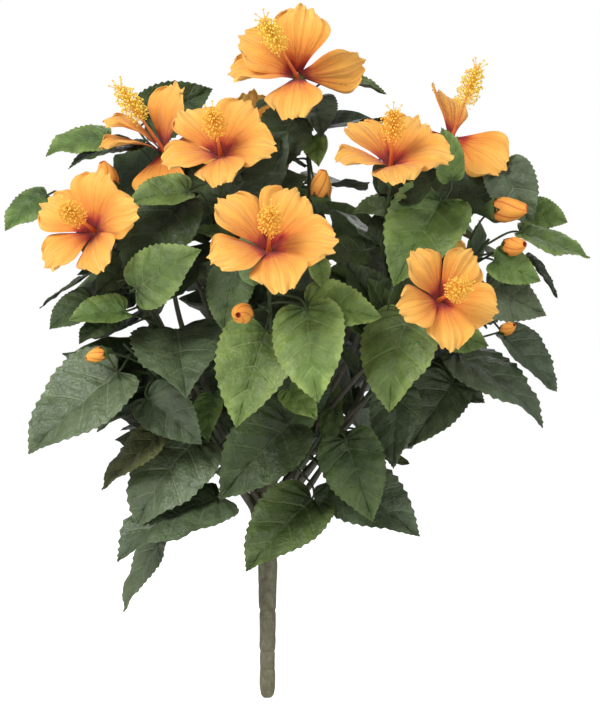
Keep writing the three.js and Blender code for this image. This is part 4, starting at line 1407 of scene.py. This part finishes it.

# %% [markdown]
# A bud is five petals wrapped round each other in a spiral. Its ring has five steps, one for
# each petal's edge, and each row is turned a little further. The tip is left open, and the
# inside of the opening is painted near black as shade.

# %% Buds
BUD_ROWS = [(0, 0.12), (0.06, 0.2), (0.16, 0.265), (0.3, 0.31), (0.44, 0.32), (0.58, 0.3), (0.7, 0.265),
            (0.8, 0.22), (0.89, 0.165), (0.96, 0.125), (0.99, 0.095), (0.96, 0.07), (0.86, 0.05)]
BUD_SIDES, BUD_STEP, BUD_TWIST = 20, (1, 0.985, 0.965, 0.9), 13
CUP_ROWS = [(-0.24, 0.045), (-0.18, 0.08), (-0.06, 0.13), (0.04, 0.2), (0.12, 0.265), (0.23, 0.305)]
CUP_SIDES, CUP_POINTS_FROM, CUP_POINT = 20, 0.22, 0.16

bud = draw_up("bud", BUD_ROWS, BUD_SIDES)
bpy.ops.object.mode_set(mode="EDIT")
for step, inset in enumerate(BUD_STEP):
    pick_grid(BUD_SIDES, lambda side, row: side % len(BUD_STEP) == step)
    stretch(inset, inset, 1)
for k in range(1, len(BUD_ROWS)):
    pick_grid(BUD_SIDES, lambda side, row: row >= k)
    turn(BUD_TWIST, "Z")
bpy.ops.object.mode_set(mode="OBJECT")
mark(bud, "row", [point.index // BUD_SIDES / (len(BUD_ROWS) - 1) for point in bud.data.vertices])
mark(bud, "seam", [point.index % len(BUD_STEP) == 3 for point in bud.data.vertices])
smooth(bud, 40)
cup = draw_up("cup", CUP_ROWS, CUP_SIDES)
pull_points(cup, CUP_POINTS_FROM, CUP_POINT, 1)
print("faces in a bud and a cup", len(bud.data.polygons), len(cup.data.polygons))

# %% [markdown]
# A bud's silk is orange at the foot and golden above, with a red line along each petal's edge.
# The inside of its open tip is painted near black as shade. Some buds are redder than others.
# Each stands in its cup at the end of its stalk.

# %% Setting the buds
# The last colour is painted shade: the inside of the open tip is near black.
BUD_DYES_AND_TIP_SHADE = [(0.1, (214, 112, 46)), (0.4, (248, 174, 72)), (0.78, (250, 172, 66)), (0.85, (214, 100, 42)),
            (0.9, (36, 12, 12))]
SEAM_DYE, RED_BUD = (190, 68, 34), (228, 118, 48)

bud_silk, tree, shader = material("bud_silk")
tone = colour_ramp(tree, plus(tree, marked(tree, "row"), mottled(tree, 160.0, -0.06, 0.06)), BUD_DYES_AND_TIP_SHADE)
tone = blend(tree, ease(tree, marked(tree, "seam"), 0.5, 1.0, 0, 0.75), tone, dye(*SEAM_DYE))
tone = blend(tree, ease(tree, marked(tree, "tint"), 0.0, 1.0, 0.0, 0.28), tone, dye(*RED_BUD))
connect(tree, shader, {"Base Color": tone, "Roughness": 0.7})

bud_pieces, cup_pieces = [], []
chance = seeded(8)
for made in buds:
    way, length = made["way"], made["length"]
    side = square(ASIDE if abs(way[0]) < 0.9 else UP, way)
    foot = made["middle"] - way * length / 2
    bud_pieces.append(set_down(bud, side, np.cross(way, side), way, foot, length))
    mark(bud_pieces[-1], "tint", [chance()] * len(bud.data.vertices))
    cup_pieces.append(set_down(cup, side, np.cross(way, side), way, foot, length))
join(bud_pieces, "buds", "petal", (bud_silk,))
join(cup_pieces, "bud_cups", "leaf", (green_plastic,))
discard(bud, cup)
print("buds", len(buds))

# %% [markdown]
# The main stem is one moulding, bare up to the leaves. It has a notch every few centimetres,
# where one length of the mould steps in to the next, and the notches are painted darker as shade.
# Higher up it flares and is drawn into grooves and ribs, because the boughs start in it there.

# %% Main stem
STEM_ROWS = [(0, 2.6), (1, 4.4), (3, 5.9), (8, 6.9), (18, 7.0), (25, 6.8), (26.4, 6.45), (28, 6.8),
             (38, 6.75), (40.8, 6.5), (41.8, 5.9), (43.2, 7.25), (50, 7.15), (62, 7.35), (73, 7.6),
             (76.4, 7.3), (77.8, 6.4), (79.6, 8.1), (88, 8.0), (100, 8.2), (110, 8.7), (119, 9.1),
             (121.6, 8.9), (123, 8.3), (124.8, 9.6), (134, 9.9), (150, 10.2), (168, 10.4), (190, 9.2),
             (215, 7.8), (240, 6.2), (258, 5.0), (262, 4.2)]
NOTCHES = (26.4, 41.8, 77.8, 123)
STEM_SIDES, RIB = 40, 8
GROOVE_FROM, GROOVE, GROOVE_TWIST = 96, 0.84, 6

stem = draw_up("ringed_stem", STEM_ROWS, STEM_SIDES)
# Painted shade: the innermost ring of each notch is marked, so that its colour is darkened.
shaded_notches = [any(abs(point.co.z - notch) < 0.1 for notch in NOTCHES) for point in stem.data.vertices]
mark(stem, "notch_shade", shaded_notches)
bpy.ops.object.mode_set(mode="EDIT")
for sides, inset in (((0,), GROOVE), ((1, RIB - 1), between(1, GROOVE, 0.5))):
    pick(lambda point: point.co.z > GROOVE_FROM and point.index % STEM_SIDES % RIB in sides)
    stretch(inset, inset, 1)
for k, (height, _) in enumerate(STEM_ROWS):
    if height > GROOVE_FROM:
        pick_grid(STEM_SIDES, lambda side, row: row >= k)
        turn(GROOVE_TWIST, "Z")
bpy.ops.object.mode_set(mode="OBJECT")
finish_with(stem, "SUBSURF", levels=1, render_levels=1)
finish_with(stem, "DISPLACE", texture=clouds("stem_lumps", 9), strength=0.9)
finish_with(stem, "DISPLACE", texture=clouds("stem_grain", 2.2), strength=0.25)
stem.data.transform(Matrix.Scale(MM, 4))
print("stem faces", len(stem.data.polygons))

# %% [markdown]
# Boughs, twigs and leaf stalks are wires in a sleeve of plastic. Each is a curve through a few
# points with a radius at each, given a round section and turned into a mesh. A bough runs on
# into its twig in one curve, with a knot where each leaf leaves it.

# %% Boughs, twigs and stalks
BOUGH_POINTS, TWIG_POINTS, LEAF_STALK_POINTS, BUD_STALK_POINTS = 24, 28, 8, 12
BOUGH_UNEVEN = (0.88, 1.1)
KNOT, KNOT_SPREAD = 0.9, 2.2
LEAF_STALK_RADII = [1.15] * 4 + [1.0] * 4 + [0.8, 0.6, 0.3]
UNDER_MIDRIB, UNDER_BLADE = (0.06, 0.16, 0.3), 0.012
BUD_STALK_BEND, BUD_STALK_FLARE = 0.7, 1.3


def wires(name, runs, sides):
    """One mesh of many round wires, each given as points and radii in millimetres."""
    bpy.ops.curve.primitive_bezier_curve_add()
    curve = bpy.context.object
    curve.data.splines.clear()
    for points, radii in runs:
        spline = curve.data.splines.new("POLY")
        spline.points.add(len(points) - 1)
        spline.points.foreach_set("co", np.column_stack([points, np.ones(len(points))]).ravel())
        spline.points.foreach_set("radius", radii)
    curve.data.bevel_depth = 1
    curve.data.bevel_resolution = sides
    curve.data.use_fill_caps = True
    bpy.ops.object.convert(target="MESH")
    curve.name = name
    curve.data.transform(Matrix.Scale(MM, 4))
    return curve


random = seeded(19)
bough_runs, twig_runs = [], []
for spray in SPRAYS:
    parts = np.linspace(0, 1, BOUGH_POINTS)
    radii = [between(BOUGH_RADIUS, BOUGH_TIP_RADIUS, t) * between(*BOUGH_UNEVEN, random()) for t in parts]
    bough_runs.append(([on_curve(spray["bough"], t) for t in parts], radii))
    foot, end = spray["foot"], spray["end"]
    knots = [math.dist(foot, grown["root"]) for grown in leaves if grown["spray"] is spray]
    far = math.dist(foot, end)
    steps = np.linspace(-2, far, TWIG_POINTS)
    radii = [between(TWIG_RADIUS, TWIG_TIP_RADIUS, step / far)
             + KNOT * max([math.exp(-((step - knot) / KNOT_SPREAD) ** 2) for knot in knots], default=0)
             for step in steps]
    twig_runs.append(([foot + spray["lean"] * step for step in steps], radii))
boughs = wires("boughs", bough_runs, 3)
twigs = wires("twigs", twig_runs, 2)

stalk_runs = []
for grown in leaves:
    root, base, way, size = (grown[key] for key in ("root", "base", "way", "size"))
    out = square(grown["face"], way)
    span = math.dist(root, base)
    curve = (root, root + towards(root, base) * span * 0.4 + grown["spray"]["lean"] * span * 0.15,
             base - way * span * 0.3, base)
    points = [on_curve(curve, t) for t in np.linspace(0, 1, LEAF_STALK_POINTS)]
    points += [base + way * size * t - out * size * UNDER_BLADE for t in UNDER_MIDRIB]
    stalk_runs.append((points, LEAF_STALK_RADII))
stalks = wires("leaf_stalks", stalk_runs, 1)

bud_runs = []
for made in buds:
    root, bend, bottom = made["stalk"]
    curve = (root, root + (bend - root) * BUD_STALK_BEND, bottom + (bend - bottom) * BUD_STALK_BEND, bottom)
    points = [on_curve(curve, t) for t in np.linspace(0, 1, BUD_STALK_POINTS)]
    bud_runs.append((points, [STALK_RADIUS] * (BUD_STALK_POINTS - 1) + [STALK_RADIUS * BUD_STALK_FLARE]))
bud_stalks = wires("bud_stalks", bud_runs, 1)
print("wires", len(bough_runs), len(twig_runs), len(stalk_runs), len(bud_runs))

# %% [markdown]
# The stem's plastic is olive grey, with painted shade in the notches and paler scuffs that run
# lengthwise. The boughs are of the same kind, browner and darker, and the twigs and stalks are
# dark green.

# %% Plastics
NOTCH_SHADE_DYE = (56, 52, 38)


def plastic(name, dark, mid, pale, rough, scale, pale_part):
    made, tree, shader = material(name)
    blotches = mottled(tree, scale, 0.0, 1.0)
    drawn = wire(tree, "Mapping", {"Vector": wire(tree, "TexCoord", {}, output=3), "Scale": (6, 6, 1)})
    scuffs = wire(tree, "TexNoise", {"Vector": drawn, "Scale": scale, "Detail": 4.0, "Roughness": 0.7})
    scuffs = ease(tree, scuffs, 0.56, 0.7, 0, pale_part)
    tone = blend(tree, scuffs, blend(tree, blotches, dye(*dark), dye(*mid)), dye(*pale))
    # Painted shade: the marked notch rings are blended towards a dark colour.
    tone = blend(tree, ease(tree, marked(tree, "notch_shade"), 0.2, 1.0, 0, 0.4), tone, dye(*NOTCH_SHADE_DYE))
    bump = relief(tree, plus(tree, blotches, scuffs), 0.5, 0.0005)
    connect(tree, shader, {"Base Color": tone, "Roughness": rough, "Normal": bump})
    return made


stem_plastic = plastic("stem_plastic", (90, 84, 62), (126, 123, 96), (166, 163, 136), 0.5, 140.0, 0.6)
bough_plastic = plastic("bough_plastic", (66, 64, 46), (96, 92, 72), (140, 134, 112), 0.55, 120.0, 0.45)
twig_plastic = plastic("twig_plastic", (44, 56, 28), (64, 80, 40), (96, 110, 68), 0.5, 160.0, 0.3)

for piece, slot, made in ((stem, "stem", stem_plastic), (boughs, "bough", bough_plastic),
                          (twigs, "bough", twig_plastic), (stalks, "bough", twig_plastic),
                          (bud_stalks, "bough", twig_plastic)):
    smooth(piece)
    join([piece], piece.name, slot, (made,))
    print(piece.name, made.name)
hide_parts("main_stem")
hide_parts(*(f"bough_{spray['name']}" for spray in SPRAYS))
